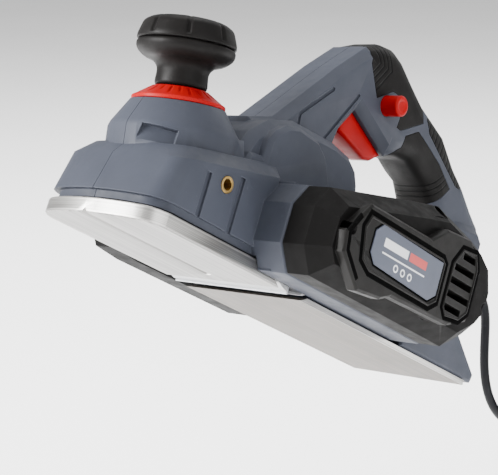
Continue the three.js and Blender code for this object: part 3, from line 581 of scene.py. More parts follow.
@dataclass(frozen=True)
class SoftRubber:
    """Soft-touch rubber with a leathery grain and, on grips, moulded ribs."""

    name: str
    colour: Colour
    roughness: float = 0.62
    rib: Rib = Rib.NONE
    leg: Flat = (0.81, -0.58)  # down the rear leg, as (x, z)
    ring_middle: Flat = (121.5, 107)
    ring_pitch: float = 3.4
    ring_reach: float = 5.2
    tip: Flat = (56, 153)
    chevron_pitch: float = 3.9
    chevron_reach: float = 15
    chevron_slope: float = 0.62
    stripe: Flat = (0.5, 0.86)  # along the back strip, as (x, z)
    stripe_pitch: float = 4.6
    stripe_slope: float = 0.35

    def ribs(self, g: Graph) -> Socket | None:
        """Share from 0 to 1 that is high in the grooves between ribs."""
        if self.rib is Rib.NONE:
            return None
        x, _, z = g.split()
        pattern = {Rib.RINGS: self.rings, Rib.CHEVRON: self.chevrons, Rib.STRIPES: self.stripes}
        return pattern[self.rib](g, x, z)

    def rings(self, g: Graph, x: Socket, z: Socket) -> Socket:
        """Grooves across the rear leg, only in a band near its lower end."""
        across, down = self.leg
        middle = (self.ring_middle[0] * MM + MOUTH_X) * across + self.ring_middle[1] * MM * down
        local = g.minus(g.plus(g.times(x, across), g.times(z, down)), middle)
        far, near = self.ring_reach * MM, (self.ring_reach - 0.3) * MM
        band = g.times(g.spread(local, -far, -near, 0, 1), g.spread(local, near, far, 1, 0))
        return g.times(g.spread(g.wave(local, self.ring_pitch), 0.55, 0.85, 0, 1), band)

    def stripes(self, g: Graph, x: Socket, z: Socket) -> Socket:
        """Grooves that cross the back strip at a slant."""
        along = g.plus(g.times(x, self.stripe[0]), g.times(z, self.stripe[1]))
        across = g.plus(g.times(x, self.stripe[1]), g.times(z, -self.stripe[0]))
        slanted = g.plus(across, g.times(along, self.stripe_slope))
        return g.spread(g.wave(slanted, self.stripe_pitch), 0.3, 0.75, 0, 1)

    def chevrons(self, g: Graph, x: Socket, z: Socket) -> Socket:
        """Nested arrow heads that point to the tail, in the front corner of the upper grip.

        An arrow's leg is |z - tip| off its tip, so x + slope |z - tip| is the same all along it.
        """
        rise = g.worked("ABSOLUTE", g.minus(z, self.tip[1] * MM))
        nest = g.plus(g.minus(x, self.tip[0] * MM + MOUTH_X), g.times(rise, self.chevron_slope))
        far = -self.chevron_reach * MM
        inside = g.times(g.spread(nest, -MM, 0.0, 1, 0), g.spread(nest, far - MM, far, 0, 1))
        return g.times(g.spread(g.wave(nest, self.chevron_pitch), 0.2, 0.7, 0, 1), inside)

    def make(self) -> Material:
        """Builds the material."""
        g = Graph(self.name)
        cloud = g.spread(g.noise(60, 4), 0.35, 0.65, 0, 1)
        body = g.blend(cloud, opaque(self.colour, 0.75), opaque(self.colour, 1.0))
        scuff = g.spread(g.noise(220, 5), 0.6, 0.75, 0, 0.3)
        body = g.blend(scuff, body, paled(self.colour, 1.8, 0.01))
        rough = g.spread(g.noise(90, 4), 0.3, 0.7, self.roughness - 0.08, self.roughness + 0.1)
        relief = g.bump(g.cells(1100), 0.00008, 0.3, g.rounded(0.0008))
        groove = self.ribs(g)
        if groove is not None:
            # The grooves are painted darker: painted shade in them, besides the bump below.
            body = g.blend(groove, body, opaque(self.colour, 0.2))
            relief = g.bump(g.minus(1.0, groove), 0.0012, 1.0, relief)
        return g.finish(body, rough, relief, specular=0.12)


@dataclass(frozen=True)
class BrushedMetal:
    """Ground or brushed metal: long fine streaks along one direction and a few deeper scratches."""

    name: str
    colour: Colour
    roughness: float = 0.34
    streak: Point = (6, 900, 900)
    streak_depth: float = 0.00003
    metallic: float = 1.0
    contrast: float = 0.16

    def make(self) -> Material:
        """Builds the material."""
        g = Graph(self.name)
        lines = g.noise(1, 3, g.mapped(self.streak))
        coarse = g.noise(1, 2, g.mapped(tuple(s * 0.22 for s in self.streak)))
        patches = g.noise(34, 4)
        tone = g.plus(g.times(lines, 0.6), g.times(coarse, 0.4))
        low, high = 1 - self.contrast, 1 + self.contrast * 0.6
        body = g.blend(g.spread(tone, 0.36, 0.64, 0, 1), opaque(self.colour, low), opaque(self.colour, high))
        body = g.blend(g.spread(patches, 0.5, 0.72, 0, 0.2), body, opaque(self.colour, 0.8))
        wear = g.plus(tone, g.times(patches, 0.3))
        rough = g.spread(wear, 0.4, 0.85, self.roughness - 0.06, self.roughness + 0.14)
        relief = g.bump(lines, self.streak_depth, 0.5, g.rounded(0.0004))
        return g.finish(body, rough, relief, self.metallic)


@dataclass(frozen=True)
class GlossPlastic:
    """Semi-gloss moulded plastic with a faint orange-peel skin."""

    name: str
    colour: Colour
    roughness: float = 0.3

    def make(self) -> Material:
        """Builds the material."""
        g = Graph(self.name)
        cloud = g.spread(g.noise(45, 3), 0.35, 0.65, 0, 1)
        body = g.blend(cloud, opaque(self.colour, 0.9), opaque(self.colour, 1.08))
        # Paler edges: a painted highlight along every edge, with a little wear.
        body = g.blend(g.times(g.edges(0.0009), 0.3), body, paled(self.colour, 1.25, 0.01))
        rough = g.spread(g.noise(160, 4), 0.3, 0.7, self.roughness - 0.06, self.roughness + 0.08)
        relief = g.bump(g.noise(700, 2), 0.00003, 0.3, g.rounded(0.0007))
        return g.finish(body, rough, relief, specular=0.1)


@dataclass(frozen=True)
class PrintedPlate:
    """Satin plate with generic pale bars, a red bar and three ring marks, on the motor's end."""

    name: str
    colour: Colour
    print_pale: Colour = (0.75, 0.76, 0.78)
    print_red: Colour = (0.5, 0.05, 0.05)
    bars: Flat = (31, 35.4)
    pale_bar: Flat = (-9, 12.5)
    red_bar: Flat = (14.2, 30)
    line: Flat = (27.4, 28.1)
    marks: tuple[Flat, ...] = ((5, 23.6), (11.5, 23.4), (18, 23.2))
    mark_radii: Flat = (1.3, 2.0)
    soft: float = 0.15

    def make(self) -> Material:
        """Builds the material."""
        g = Graph(self.name)
        x, _, z = g.split()
        across = g.times(g.minus(x, MOUTH_X), 1000)
        rise = g.times(z, 1000)

        def strip(value: Socket, ends: Flat) -> Socket:
            """Share that is 1 between two ends, with soft edges."""
            low, high = ends
            start = g.spread(value, low - self.soft, low, 0, 1)
            return g.times(start, g.spread(value, high, high + self.soft, 1, 0))

        def bar(wide: Flat, tall: Flat) -> Socket:
            """Share that is 1 inside a rectangle, in millimetres."""
            return g.times(strip(across, wide), strip(rise, tall))

        def mark(cx: float, cz: float) -> Socket:
            """Share that is 1 on a small ring round a point."""
            dx, dz = g.minus(across, cx), g.minus(rise, cz)
            away = g.worked("SQRT", g.plus(g.times(dx, dx), g.times(dz, dz)))
            return strip(away, self.mark_radii)

        pale = bar(self.pale_bar, self.bars)
        under = bar((self.pale_bar[0], self.red_bar[1]), self.line)
        for share in (under, *(mark(*centre) for centre in self.marks)):
            pale = g.worked("MAXIMUM", pale, share)
        cloud = g.spread(g.noise(70, 4), 0.3, 0.7, 0, 1)
        base = g.blend(cloud, opaque(self.colour, 0.93), opaque(self.colour, 1.07))
        printed = g.blend(pale, base, opaque(self.print_pale))
        printed = g.blend(bar(self.red_bar, self.bars), printed, opaque(self.print_red))
        rough = g.spread(g.noise(300, 3), 0.3, 0.7, 0.32, 0.42)
        relief = g.bump(g.noise(1300, 2), 0.00003, 0.3, g.rounded(0.0004))
        return g.finish(printed, rough, relief)


SLATE: Colour = (0.043, 0.048, 0.064)
CHARCOAL: Colour = (0.0040, 0.0037, 0.0036)
GRIP: Colour = (0.0075, 0.0069, 0.0066)
FINISHES = {
    "slate_casing": MouldedPlastic("slate_plastic", SLATE, 0.55, specular=0.2),
    "charcoal_cover": MouldedPlastic("charcoal_plastic", CHARCOAL, 0.6, edge_wear_and_highlight=0.15, specular=0.07),
    "label": PrintedPlate("printed_plate", (0.058, 0.068, 0.1)),
    "red_plastic": GlossPlastic("red_plastic", (0.36, 0.0015, 0.003), 0.42),
    "knob_rubber": SoftRubber("knob_rubber", (0.0062, 0.0054, 0.0051), 0.5),
    "grip_rubber": SoftRubber("grip_rubber", GRIP, 0.56),
    "shoe_aluminium": BrushedMetal(
        "shoe_aluminium", (0.34, 0.33, 0.32), 0.42, (5, 420, 5), metallic=0.35, contrast=0.5),
    "sole_aluminium": BrushedMetal(
        "sole_aluminium", (0.16, 0.142, 0.125), 0.48, (4, 520, 4), metallic=0.35, contrast=0.5),
    "drum_aluminium": BrushedMetal("drum_aluminium", (0.55, 0.55, 0.56), 0.38, (500, 8, 500)),
    "tool_steel": BrushedMetal("tool_steel", (0.62, 0.63, 0.65), 0.25, (700, 10, 700)),
    "bright_steel": BrushedMetal("bright_steel", (0.55, 0.55, 0.57), 0.28, (600, 60, 600)),
    "black_steel": BrushedMetal("black_steel", (0.045, 0.045, 0.05), 0.38, (900, 500, 900)),
    "laminated_iron": BrushedMetal(
        "laminated_iron", (0.2, 0.185, 0.175), 0.5, (12, 1600, 12), 0.0001, contrast=0.4),
    "copper": BrushedMetal("copper", (0.6, 0.27, 0.13), 0.33, (400, 500, 400)),
    "brass": BrushedMetal("brass", (0.68, 0.45, 0.16), 0.3, (500, 90, 500)),
    "carbon": MouldedPlastic("carbon", (0.012, 0.012, 0.012), 0.6),
    "fan_nylon": MouldedPlastic("fan_nylon", (0.62, 0.6, 0.52), 0.45),
    "belt_rubber": SoftRubber("belt_rubber", (0.012, 0.012, 0.012), 0.6),
    "cord_rubber": SoftRubber("cord_rubber", (0.009, 0.009, 0.011), 0.45),
    "tie": SoftRubber("tie_strap", (0.02, 0.02, 0.021), 0.5),
}
EXTRA_FINISHES = {
    "ground_edge": BrushedMetal(
        "ground_edge", (0.6, 0.59, 0.57), 0.3, (7, 7, 1900), 0.00005, contrast=0.5),
    "panel": MouldedPlastic(
        "panel_plastic", (0.0065, 0.0061, 0.0057), 0.5, grain=1100, grain_depth=0.00011, specular=0.14),
    # Near-black strips on the cover's face that paint the shade inside its grooves.
    "shadow_line": MouldedPlastic(
        "shadow_line", (0.001, 0.001, 0.001), 0.8, edge_wear_and_highlight=0.1, specular=0.02),
    "chevron_grip": SoftRubber("chevron_grip", GRIP, 0.56, Rib.CHEVRON),
    "ring_grip": SoftRubber("ring_grip", GRIP, 0.56, Rib.RINGS),
    "striped_grip": SoftRubber("striped_grip", GRIP, 0.56, Rib.STRIPES),
}


@dataclass
class Paint:
    """The finishes as materials, each made once."""

    made: dict[str, Material] = field(default_factory=dict)

    def get(self, key: str) -> Material:
        """Material of a finish, by the record's slot or an extra finish's name."""
        if key not in self.made:
            self.made[key] = (FINISHES.get(key) or EXTRA_FINISHES[key]).make()
        return self.made[key]

    def dress(self, piece: Object, key: str, slot: str | None = None) -> Object:
        """Gives a new piece its material."""
        piece.data.materials.clear()
        piece.data.materials.append(self.get(key))
        return piece

    def dress_frame(self, frame: dict) -> None:
        """Gives every CAD node the material of its slot."""
        for part in frame["record"]["subparts"]:
            mesh = frame["nodes"][part["node"]].data
            mesh.materials.clear()
            mesh.materials.append(self.get(part["material_slot"]))
            mesh.polygons.foreach_set("material_index", np.zeros(len(mesh.polygons), np.int32))
            smooth_shade(mesh, SMOOTH_BELOW)


# ---------------------------------------------------------------- knob
@dataclass
class DepthKnob:
    """Depth knob on its leaning axis: scale ring, stem and ribbed cap."""

    paint: Paint
    foot: Point = (-84.6, 0, 73)
    lean: float = 12.0
    ring_radius: float = 24.3
    ring_top: float = 14.6
    ring_height: float = 8.6
    cap_radius: float = 25.8
    cap_top: float = 44.4
    seam: float = 31.4
    stem: float = 13.0
    bore: float = 5.3
    ticks: int = 24
    tick_depth: float = 0.7
    grooves: int = 8
    groove_depth: float = 1.1

    def frame(self) -> Matrix:
        """Turns and moves a piece made about +Z onto the knob's axis."""
        turn = Matrix.Rotation(math.radians(-self.lean), 4, "Y")
        return Matrix.Translation(Vector(at(*self.foot))) @ turn

    def ring(self) -> Object:
        """Conical scale ring, with short cut ticks every 15 degrees."""
        profile = eased(
            [(7, 0.3), (self.ring_radius, 0.3), (self.ring_radius, 2.3), (self.ring_radius - 1.4, 3.0),
             (self.ring_top, self.ring_height), (7, self.ring_height), (7, 0.3)], 0.5)

        def cuts(u: Array, s: Array) -> Array:
            """Cut depth, where the angle is close to a tick and the height is on the cone.

            Every second tick starts lower down, so it is longer.
            """
            step = 2 * np.pi / self.ticks
            near = np.abs((u + step / 2) % step - step / 2) < 0.022
            longer = np.abs((u + step) % (2 * step) - step) < 0.05
            return self.tick_depth * near * (s > np.where(longer, 3.4, 5.2)) * (s < 7.8)

        return turned("scale_ring", densified(profile, 4), self.frame(), 288, cuts)

    def stem_body(self) -> Object:
        """Waisted stem that flares out under the cap."""
        foot, seam, wide = self.ring_height + 0.3, self.seam, self.cap_radius
        profile = eased(
            [(self.bore, foot), (self.stem + 0.9, foot), (self.stem + 0.2, seam - 13),
             (self.stem + 3.4, seam - 9.4), (wide - 4.6, seam - 8.2), (wide - 0.3, seam - 4.6),
             (wide, seam), (self.bore, seam), (self.bore, foot)], 2.8, 6)
        return turned("knob_body", profile, self.frame(), 128)

    def cap(self) -> Object:
        """Cap with eight upright grooves in its leaning side and a slightly domed top."""
        low, wide, top = self.seam + 0.05, self.cap_radius, self.cap_top
        profile = eased(
            [(0, low), (wide, low), (wide, self.seam + 2.6), (wide - 2.4, top - 3.2),
             (wide - 6.2, top - 0.9), (wide - 13, top - 0.2), (0, top)], 1.6, 5)

        def grooves(u: Array, s: Array) -> Array:
            """Round-bottomed grooves that start above the seam and run out at the top's edge."""
            step = 2 * np.pi / self.grooves
            away = np.abs((u + step / 2) % step - step / 2) / 0.05
            across = np.clip(1 - away**2, 0, 1) ** 0.5
            start = np.clip((s - low - 1.8) / 0.8, 0, 1)
            return self.groove_depth * across * start

        return turned("knob_top", densified(profile, 3), self.frame(), 256, grooves)

    def build(self) -> None:
        """Builds the ring, stem and cap on the knob's body."""
        for piece, node, key in (
            (self.ring(), "depth_ring", "red_plastic"),
            (self.stem_body(), "knob_stem", "knob_rubber"),
            (self.cap(), "knob_cap", "knob_rubber"),
        ):
            self.paint.dress(piece, key)
            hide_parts(node)
            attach(piece, "knob")


# ---------------------------------------------------------------- casing and covers
@dataclass
class Casing:
    """The two casing halves, the rubber grips, the belt cover and the soles."""

    paint: Paint
    edge: float = 0.7
    small_edge: float = 0.4
    soft_below: float = 20.0  # the trigger's rounded steps turn by less, in degrees

    def build(self) -> None:
        """Builds the eased shells."""
        shells = (
            ("left_casing", "casing_near", self.edge, "slate_casing", "slate_casing"),
            ("right_casing", "casing_far", self.edge, "slate_casing", "slate_casing"),
            ("belt_cover", "belt_guard", self.edge, "charcoal_cover", "charcoal_cover"),
            ("grip_upper", "grip_over_switch", self.small_edge, "chevron_grip", "grip_rubber"),
            ("grip_lower", "grip_round_leg", self.small_edge, "ring_grip", "grip_rubber"),
            ("grip_back", "grip_back_strip", self.small_edge, "striped_grip", "grip_rubber"),
            ("front_shoe", "shoe_plate", self.small_edge, "shoe_aluminium", "shoe_aluminium"),
            ("rear_sole", "sole_plate", self.small_edge, "sole_aluminium", "sole_aluminium"),
            ("trigger", "trigger_lever", 0.0, "red_plastic", "red_plastic"),
            ("plug", "mains_plug", 0.7, "cord_rubber", "cord_rubber"),
            ("cord_tie", "tie_strap", 0.25, "tie", "tie"),
        )
        for node, name, ease, key, slot in shells:
            piece = cad_skin(node, name, ease, self.soft_below if node == "trigger" else SMOOTH_BELOW)
            self.paint.dress(piece, key, slot)
            if node in ("front_shoe", "rear_sole"):
                self.grind_edges(piece)

    def grind_edges(self, piece: Object) -> None:
        """Gives a plate's upright faces a ground finish, whose lines run round the plate."""
        piece.data.materials.append(self.paint.get("ground_edge"))
        normals = np.zeros(len(piece.data.polygons) * 3)
        piece.data.polygons.foreach_get("normal", normals)
        upright = np.abs(normals.reshape(-1, 3)[:, 2]) < 0.6
        piece.data.polygons.foreach_set("material_index", upright.astype(np.int32))


@dataclass
class MotorCover:
    """Motor cover with its textured end panel, framed label, framed vent and arrow, whose grooves are
    near-black strips of painted shade.
    """

    paint: Paint
    panel_face: float = -92.5
    panel_depth: float = 5.2
    label: tuple[Flat, ...] = (
        (-13, 20), (38, 17.5), (44, 22), (44, 40), (-13, 41), (-18, 36.5), (-18, 25))
    frame: tuple[Flat, ...] = (
        (-25, 43.4), (43.5, 43.4), (47.4, 40.5), (47.4, 18.5), (40.5, 13.6), (-15.4, 14), (-24, 18.6),
        (-28.5, 35))
    vent: tuple[Flat, ...] = (
        (58.3, 54), (72.6, 55.4), (77.4, 46.5), (77.4, 21.8), (70.5, 15.2), (56.5, 13.6), (51.8, 18.4),
        (51.8, 43.5))
    arrow: tuple[Flat, ...] = ((-31, 39.4), (-37.2, 29.5), (-35.2, 19.8), (-22.5, 8.8))

    def outline(self, corners: Sequence[Flat], grow: float) -> Array:
        """Closed outline on the panel's face, moved outwards by grow millimetres.

        Each corner moves along the sum of its sides' normals over 1 + their dot product.
        """
        xz = np.array(corners, float)
        into, out = xz - np.roll(xz, 1, axis=0), np.roll(xz, -1, axis=0) - xz
        area = (xz[:, 0] * np.roll(xz[:, 1], -1) - np.roll(xz[:, 0], -1) * xz[:, 1]).sum()
        turn = math.copysign(1, area)
        n1, n2 = (
            np.stack([side[:, 1], -side[:, 0]], 1) / np.linalg.norm(side, axis=1)[:, None] * turn
            for side in (into, out)
        )
        xz = xz + (n1 + n2) * grow / (1 + (n1 * n2).sum(1))[:, None]
        return self.on_face(xz)

    def on_face(self, xz: Array) -> Array:
        """Points of the panel's face, in metres."""
        y = np.full((len(xz), 1), self.panel_face * MM)
        return np.hstack([xz[:, :1] * MM + MOUTH_X, y, xz[:, 1:] * MM])

    def strip(self, name: str, line: Array, half: float, proud: float, closed: bool, key: str) -> None:
        """Strip along a line of the face, with sloping sides and a foot sunk in the panel."""
        foot, slope, chamfer = -0.6, 0.5, 0.25
        side = [(half + slope, foot), (half, proud * 0.75), (half - chamfer, proud)]
        section = np.array([(-side[0][0], foot), *side, *((-a, b) for a, b in side[:0:-1])])
        piece = swept(name, line, section, np.array([0.0, -1.0, 0.0]), closed)
        self.paint.dress(piece, key, "charcoal_cover")
        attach(piece, "root")

    def build(self) -> None:
        """Builds the cover, its label and the strips on its face."""
        cover = cad_skin("motor_cover", "motor_housing", 0.0, smooth_below=8)
        self.paint.dress(cover, "charcoal_cover")
        cover.data.materials.append(self.paint.get("panel"))
        centres = np.zeros(len(cover.data.polygons) * 3)
        normals = np.zeros_like(centres)
        cover.data.polygons.foreach_get("center", centres)
        cover.data.polygons.foreach_get("normal", normals)
        raised = centres.reshape(-1, 3)[:, 1] < (self.panel_face + self.panel_depth) * MM
        outward = normals.reshape(-1, 3)[:, 1] < 0.5
        cover.data.polygons.foreach_set("material_index", (raised & outward).astype(np.int32))
        plate = cad_skin("label_plate", "printed_label", 0.2)
        self.paint.dress(plate, "label")
        # The grooves are near-black strips a hair proud of the panel: painted shade where real grooves would
        # be in shadow.
        for name, corners, grow, half, proud, key in (
            ("label_groove_shade", self.label, 0.7, 0.5, 0.05, "shadow_line"),
            ("frame_groove_shade", self.frame, 0.0, 1.25, 0.05, "shadow_line"),
            ("frame_ridge", self.frame, -2.0, 0.45, 0.6, "panel"),
            ("vent_groove_shade", self.vent, 0.0, 1.1, 0.05, "shadow_line"),
            ("vent_ridge", self.vent, -1.7, 0.35, 0.5, "panel"),
        ):
            self.strip(name, self.outline(corners, grow), half, proud, True, key)
        # The arrow is a near-black strip too: painted shade of a groove.
        self.strip("arrow_groove_shade", self.on_face(np.array(self.arrow)), 1.25, 0.05, False, "shadow_line")


# ---------------------------------------------------------------- small pieces
@dataclass
class DriveScrew:
    """Screw with a domed head and a cross recess."""

    paint: Paint
    head: float = 3.1
    height: float = 2.2
    shank: float = 1.6
    doming: float = 0.05
    slot_half: float = 0.52
    slot_reach: float = 1.9
    slot_depth: float = 1.1

    def build(self, node: str, name: str, toward: Vector) -> None:
        """Builds a screw over a CAD screw.

        The head's top is a dome less a cross: the height falls by doming r^2, and by slot_depth
        where the smaller of |x| and |y| is under slot_half and r is under slot_reach.

        Args:
            node: the CAD screw, whose box gives its place and length.
            name: the new piece's name.
            toward: the direction its head looks in.
        """
        low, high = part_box(node)
        middle, along = (low + high) / 2, max(high - low)
        rows, sides = 24, 72
        u = np.linspace(0, 2 * np.pi, sides, endpoint=False)[None, :]
        r = np.linspace(0, self.head, rows)[:, None]
        x, y = r * np.cos(u), r * np.sin(u)
        dome = self.height - self.doming * r**2 - 0.5 * np.clip(r - self.head + 0.4, 0, 1) + 0 * u
        arm = np.minimum(np.abs(x), np.abs(y))
        cross = np.clip((self.slot_half - arm) / 0.12, 0, 1) * np.clip((self.slot_reach - r) / 0.2, 0, 1)
        top = np.stack([x, y, dome - self.height - self.slot_depth * cross], -1)
        end = -along / MM
        steps = ((self.head, -self.height), (self.shank, -self.height), (self.shank, end), (0.0, end))
        lower = np.stack(
            [np.stack([r1 * np.cos(u[0]), r1 * np.sin(u[0]), 0 * u[0] + s], -1) for r1, s in steps])
        points = np.concatenate([top, lower]).reshape(-1, 3) * MM
        turn = np.array(toward.to_track_quat("Z", "Y").to_matrix())
        head_end = np.array(middle) + np.array(toward) * along / 2
        faces = grid_faces(rows + len(steps), sides, False, True)
        piece = mesh_object(name, points @ turn.T + head_end, faces)
        self.paint.dress(piece, "black_steel")
        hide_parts(node)
        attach(piece, "root")


@dataclass
class Controls:
    """Lock-on button beside the handle."""

    paint: Paint
    centre: Flat = (57.0, 133.5)
    radius: float = 6.0
    face: float = 28.0
    inner: float = 10.9
    collar: float = 12.2

    def build(self) -> None:
        """Builds the button, with a shallow dished face."""
        out, wide = self.face, self.radius
        profile = eased(
            [(0, self.inner), (wide + 1.6, self.inner), (wide + 1.6, self.collar), (wide, self.collar),
             (wide, out - 0.7), (wide - 0.8, out), (wide - 2, out), (wide - 3, out - 0.35),
             (0, out - 0.45)], 0.4, 4)
        middle = Vector(at(self.centre[0], 0, self.centre[1]))
        frame = Matrix.Translation(middle) @ Matrix.Rotation(math.pi / 2, 4, "X")
        piece = turned("lock_on_button", profile, frame, 64)
        self.paint.dress(piece, "red_plastic")
        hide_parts("lock_button")
        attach(piece, "lock_button")


# ---------------------------------------------------------------- mains lead
@dataclass
class MainsLead:
    """Strain relief, the lead along its route, and its coil.

    A knot of the coil is (turns, radius) or (turns, diameters above the first layer).
    """

    paint: Paint
    diameter: float = 6.0
    relief_start: Point = (180, 0, 93.5)
    droop: float = 29.5
    relief_length: float = 48.0
    coil_x: float = 320.0
    coil_y: float = -38.0
    coil_foot: float = 4.3
    coil_turns: float = 11.5
    coil_radii: tuple[Flat, ...] = (
        (0, 38), (2, 26), (3, 26), (5, 38), (6, 38), (8, 26), (9, 26), (11, 38), (11.5, 41))
    coil_layers: tuple[Flat, ...] = (
        (0, 0), (2, 0), (3, 1), (5, 1), (6, 2), (8, 2), (9, 3), (11.5, 3))
    climb_bulge: float = 2.4
    route: tuple[Flat, ...] = (
        (221.8, 69.9), (225.4, 67.8), (228.8, 65), (231.8, 61.3), (234.4, 56.8), (236.6, 51.6), (238.8, 45.8),
        (241.4, 39.4), (244.4, 32.6), (248, 26), (252.6, 19.7), (258.2, 14.2), (264.8, 9.6), (272.4, 6.2),
        (280.8, 4), (287, 3.2), (292.6, 3.1), (299.5, 3.4), (306.5, 3.9), (313.5, 4.2))
    neck_depth: float = 4.0

    def boot(self) -> Object:
        """Tapered boot with rings of slots, like those that let a real boot bend; this one is rigid."""
        turn = Matrix.Rotation(math.radians(90 + self.droop), 4, "Y")
        frame = Matrix.Translation(Vector(at(*self.relief_start))) @ turn
        tip = self.relief_length
        profile = eased(
            [(0, -6), (8, -6), (8, -3), (6, -3), (6, 7), (7, 7), (7, 10), (4.2, tip), (0, tip)], 0.5, 3)

        def slots(u: Array, s: Array) -> Array:
            """Grooves every 5 mm, which leave a bridge on two sides that alternate."""
            first, pitch, depth = 14, 5, 0.9
            ring = np.clip(1 - (np.abs((s - first) % pitch - pitch / 2) / 0.9) ** 4, 0, 1)
            ring = ring * (s > first) * (s < tip - 4)
            side = np.floor((s - first) / pitch) % 2
            gap = np.clip((np.abs(np.sin(u + side * np.pi / 2)) - 0.25) / 0.2, 0, 1)
            return depth * ring * gap

        return turned("cord_boot", densified(profile, 13), frame, 48, slots)

    def coil(self, per_turn: int = 28) -> Array:
        """Coil of four layers that spiral in and out by turns, each a diameter above the last.

        With t in turns, the radius runs 38 to 26 mm over two turns, waits a turn while the lead climbs
        to the next layer on a slight bulge, and runs back. The angle falls by a full circle a turn.
        """
        t = np.linspace(0, self.coil_turns, int(self.coil_turns * per_turn) + 1)[1:]
        radius = np.interp(t, *zip(*self.coil_radii))
        height = np.interp(t, *zip(*self.coil_layers)) * self.diameter
        inner, outer, last = (np.sin(np.pi * np.clip(t - start, 0, 1)) for start in (2, 5, 8))
        radius = radius + self.climb_bulge * (outer - inner - last)
        smooth = np.ones(9) / 9
        pad = len(smooth) // 2
        radius = np.convolve(np.pad(radius, pad, "edge"), smooth, "valid")
        height = np.convolve(np.pad(height, pad, "edge"), smooth, "valid")
        angle = np.pi / 2 - 2 * np.pi * t
        x = self.coil_x + radius * np.cos(angle)
        y = self.coil_y + radius * np.sin(angle)
        return np.stack([x * MM + MOUTH_X, y * MM, (self.coil_foot + height) * MM], axis=1)

    def line(self) -> Array:
        """The lead's middle, from the boot's tip through the coil to the plug's neck."""
        hanging = np.array([at(x, 0, z) for x, z in self.route])
        low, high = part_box("plug")
        neck = np.array([high.x - self.neck_depth * MM, (low.y + high.y) / 2, (low.z + high.z) / 2])
        wound = self.coil()
        end = wound[-1]
        t = np.linspace(0, 1, 8)[1:, None]
        ease = t * t * (3 - 2 * t)
        tail = end + (neck - end) * np.hstack([t, ease, ease])
        return np.vstack([hanging, wound, tail])

    @staticmethod
    def refined(line: Array, step: float) -> Array:
        """Points an even step apart on the line, rounded by a short running mean that keeps the ends."""
        along = np.concatenate([[0], np.cumsum(np.linalg.norm(np.diff(line, axis=0), axis=1))])
        even = np.linspace(0, along[-1], int(along[-1] / step))
        dense = np.stack([np.interp(even, along, line[:, k]) for k in range(3)], axis=1)
        weights = np.array([1, 2, 3, 2, 1]) / 9
        for _ in range(2):
            inner = sum(w * dense[k : len(dense) - 4 + k] for k, w in enumerate(weights))
            dense = np.vstack([dense[:2], inner, dense[-2:]])
        return dense

    def build(self) -> None:
        boot = self.boot()
        self.paint.dress(boot, "cord_rubber")
        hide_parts("strain_relief")
        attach(boot, "root")
        middle = self.refined(self.line(), 1.6 * MM)
        lead = tube("mains_lead", middle, self.diameter / 2 * MM)
        self.paint.dress(lead, "cord_rubber")
        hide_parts("power_cord", "cord_coil")
        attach(lead, "root")


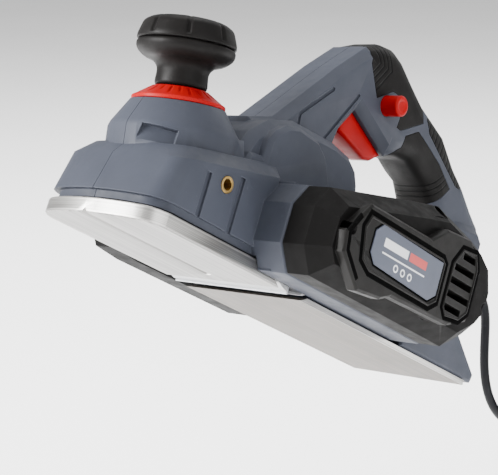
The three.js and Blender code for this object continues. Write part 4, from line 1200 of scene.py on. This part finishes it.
# ---------------------------------------------------------------- studio
@dataclass
class Studio:
    """Camera, pale floor and soft lights."""

    eye: Point = (-0.7098, -0.5738, -0.1468)
    look: Point = (0.719, 0.6644, 0.2043)
    right: Point = (0.6102, -0.744, 0.2723)
    lens: float = 115.66
    floor_tilt: float = 14.0
    floor_gap: float = 0.004
    floor_half: float = 9.0
    sky: float = 0.7
    aim: Point = (-0.06, 0.0, 0.07)

    def axes(self) -> tuple[Vector, Vector, Vector]:
        """The camera's right, up and look directions, square to each other."""
        look = Vector(self.look).normalized()
        up = Vector(self.right).cross(look).normalized()
        return look.cross(up).normalized(), up, look

    def camera(self) -> None:
        """Makes the camera and sets it as the scene's."""
        right, up, look = self.axes()
        data = bpy.data.cameras.new("camera")
        data.lens, data.sensor_width = self.lens, 36.0
        camera = placed("camera", data)
        turn = Matrix((right, up, -look)).transposed().to_4x4()
        camera.matrix_world = Matrix.Translation(Vector(self.eye)) @ turn
        bpy.context.scene.camera = camera

    def floor_normal(self) -> Vector:
        """Upward direction of the floor, which the camera looks down on by floor_tilt degrees."""
        _, up, look = self.axes()
        tilt = math.radians(self.floor_tilt)
        return (up * math.cos(tilt) - look * math.sin(tilt)).normalized()

    def floor(self, lowest: float) -> None:
        """Wide pale floor, lowest metres along its normal from the origin."""
        normal = self.floor_normal()
        across = self.axes()[0]
        ahead = normal.cross(across)
        centre = normal * lowest
        far = self.floor_half
        signs = ((-far, -far), (far, -far), (far, far), (-far, far))
        corners = [centre + across * a + ahead * b for a, b in signs]
        mesh = bpy.data.meshes.new("floor")
        mesh.from_pydata([tuple(c) for c in corners], [], [(0, 1, 2, 3)])
        floor = placed("floor", mesh)
        g = Graph("floor_paper")
        tone = g.blend(g.spread(g.noise(3, 3), 0.3, 0.7, 0, 1), (0.9, 0.9, 0.9, 1), (0.93, 0.93, 0.93, 1))
        mesh.materials.append(g.finish(tone, 0.7, g.bump(g.noise(400, 3), 0.00005, 0.1)))
        floor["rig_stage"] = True

    def light(self, name: str, place: Point, size: float, power: float) -> Object:
        """Square soft light: place is (right, up, toward the camera) from the aim point, in metres."""
        right, up, look = self.axes()
        target = Vector(self.aim)
        position = target + right * place[0] + up * place[1] - look * place[2]
        data = bpy.data.lights.new(name, "AREA")
        data.shape, data.size, data.energy = "SQUARE", size, power
        lamp = placed(name, data)
        turn = (target - position).to_track_quat("-Z", "Y").to_matrix().to_4x4()
        lamp.matrix_world = Matrix.Translation(position) @ turn
        return lamp

    def lights(self) -> None:
        """Soft sky, a strong key from the left, four weaker lights and one that only lights the floor."""
        world = bpy.data.worlds.new("studio_sky")
        world.use_nodes = True
        sky = world.node_tree.nodes["Background"]
        sky.inputs["Color"].default_value = (1, 1, 1, 1)
        sky.inputs["Strength"].default_value = self.sky
        bpy.context.scene.world = world
        self.light("key", (-1.2, 0.35, 0.55), 0.55, 50)
        self.light("top", (0.1, 1.5, -0.1), 1.2, 16)
        self.light("rim", (0.9, 0.9, -0.9), 0.6, 3)
        glow = self.light("floor_glow", (0.1, 1.6, 0.1), 1.4, 110)
        lit = bpy.data.collections.new("lit_by_floor_glow")
        lit.objects.link(bpy.data.objects["floor"])
        glow.light_linking.receiver_collection = lit
        self.light("fill", (0.6, 0.25, 0.9), 0.8, 6)
        self.light("under", (-0.5, -0.7, 0.6), 0.7, 1)


SCREWS = (("cover_screw", 3, Vector((0, -1, 0))), ("casing_screw", 4, Vector((0, 1, 0))),
          ("belt_cover_screw", 2, Vector((0, 1, 0))))


def main() -> None:
    """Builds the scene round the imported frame."""
    logging.basicConfig(level=logging.INFO, format="%(name)s: %(message)s")
    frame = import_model()
    studio = Studio()
    studio.camera()
    paint = Paint()
    paint.dress_frame(frame)
    Casing(paint).build()
    LOG.info("casing, grips, soles and plug")
    MotorCover(paint).build()
    LOG.info("motor cover")
    DepthKnob(paint).build()
    LOG.info("depth knob")
    Controls(paint).build()
    for family, count, toward in SCREWS:
        for number in range(1, count + 1):
            node = f"{family}_{number}"
            DriveScrew(paint).build(node, node + "_head", toward)
    LOG.info("button and screws")
    MainsLead(paint).build()
    LOG.info("mains lead")
    bpy.context.view_layer.update()
    normal = studio.floor_normal()
    corners = [Vector(corner) for corner in product(*zip(*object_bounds()))]
    studio.floor(min(c.dot(normal) for c in corners) - studio.floor_gap)
    studio.lights()


if __name__ == "__main__":
    main()
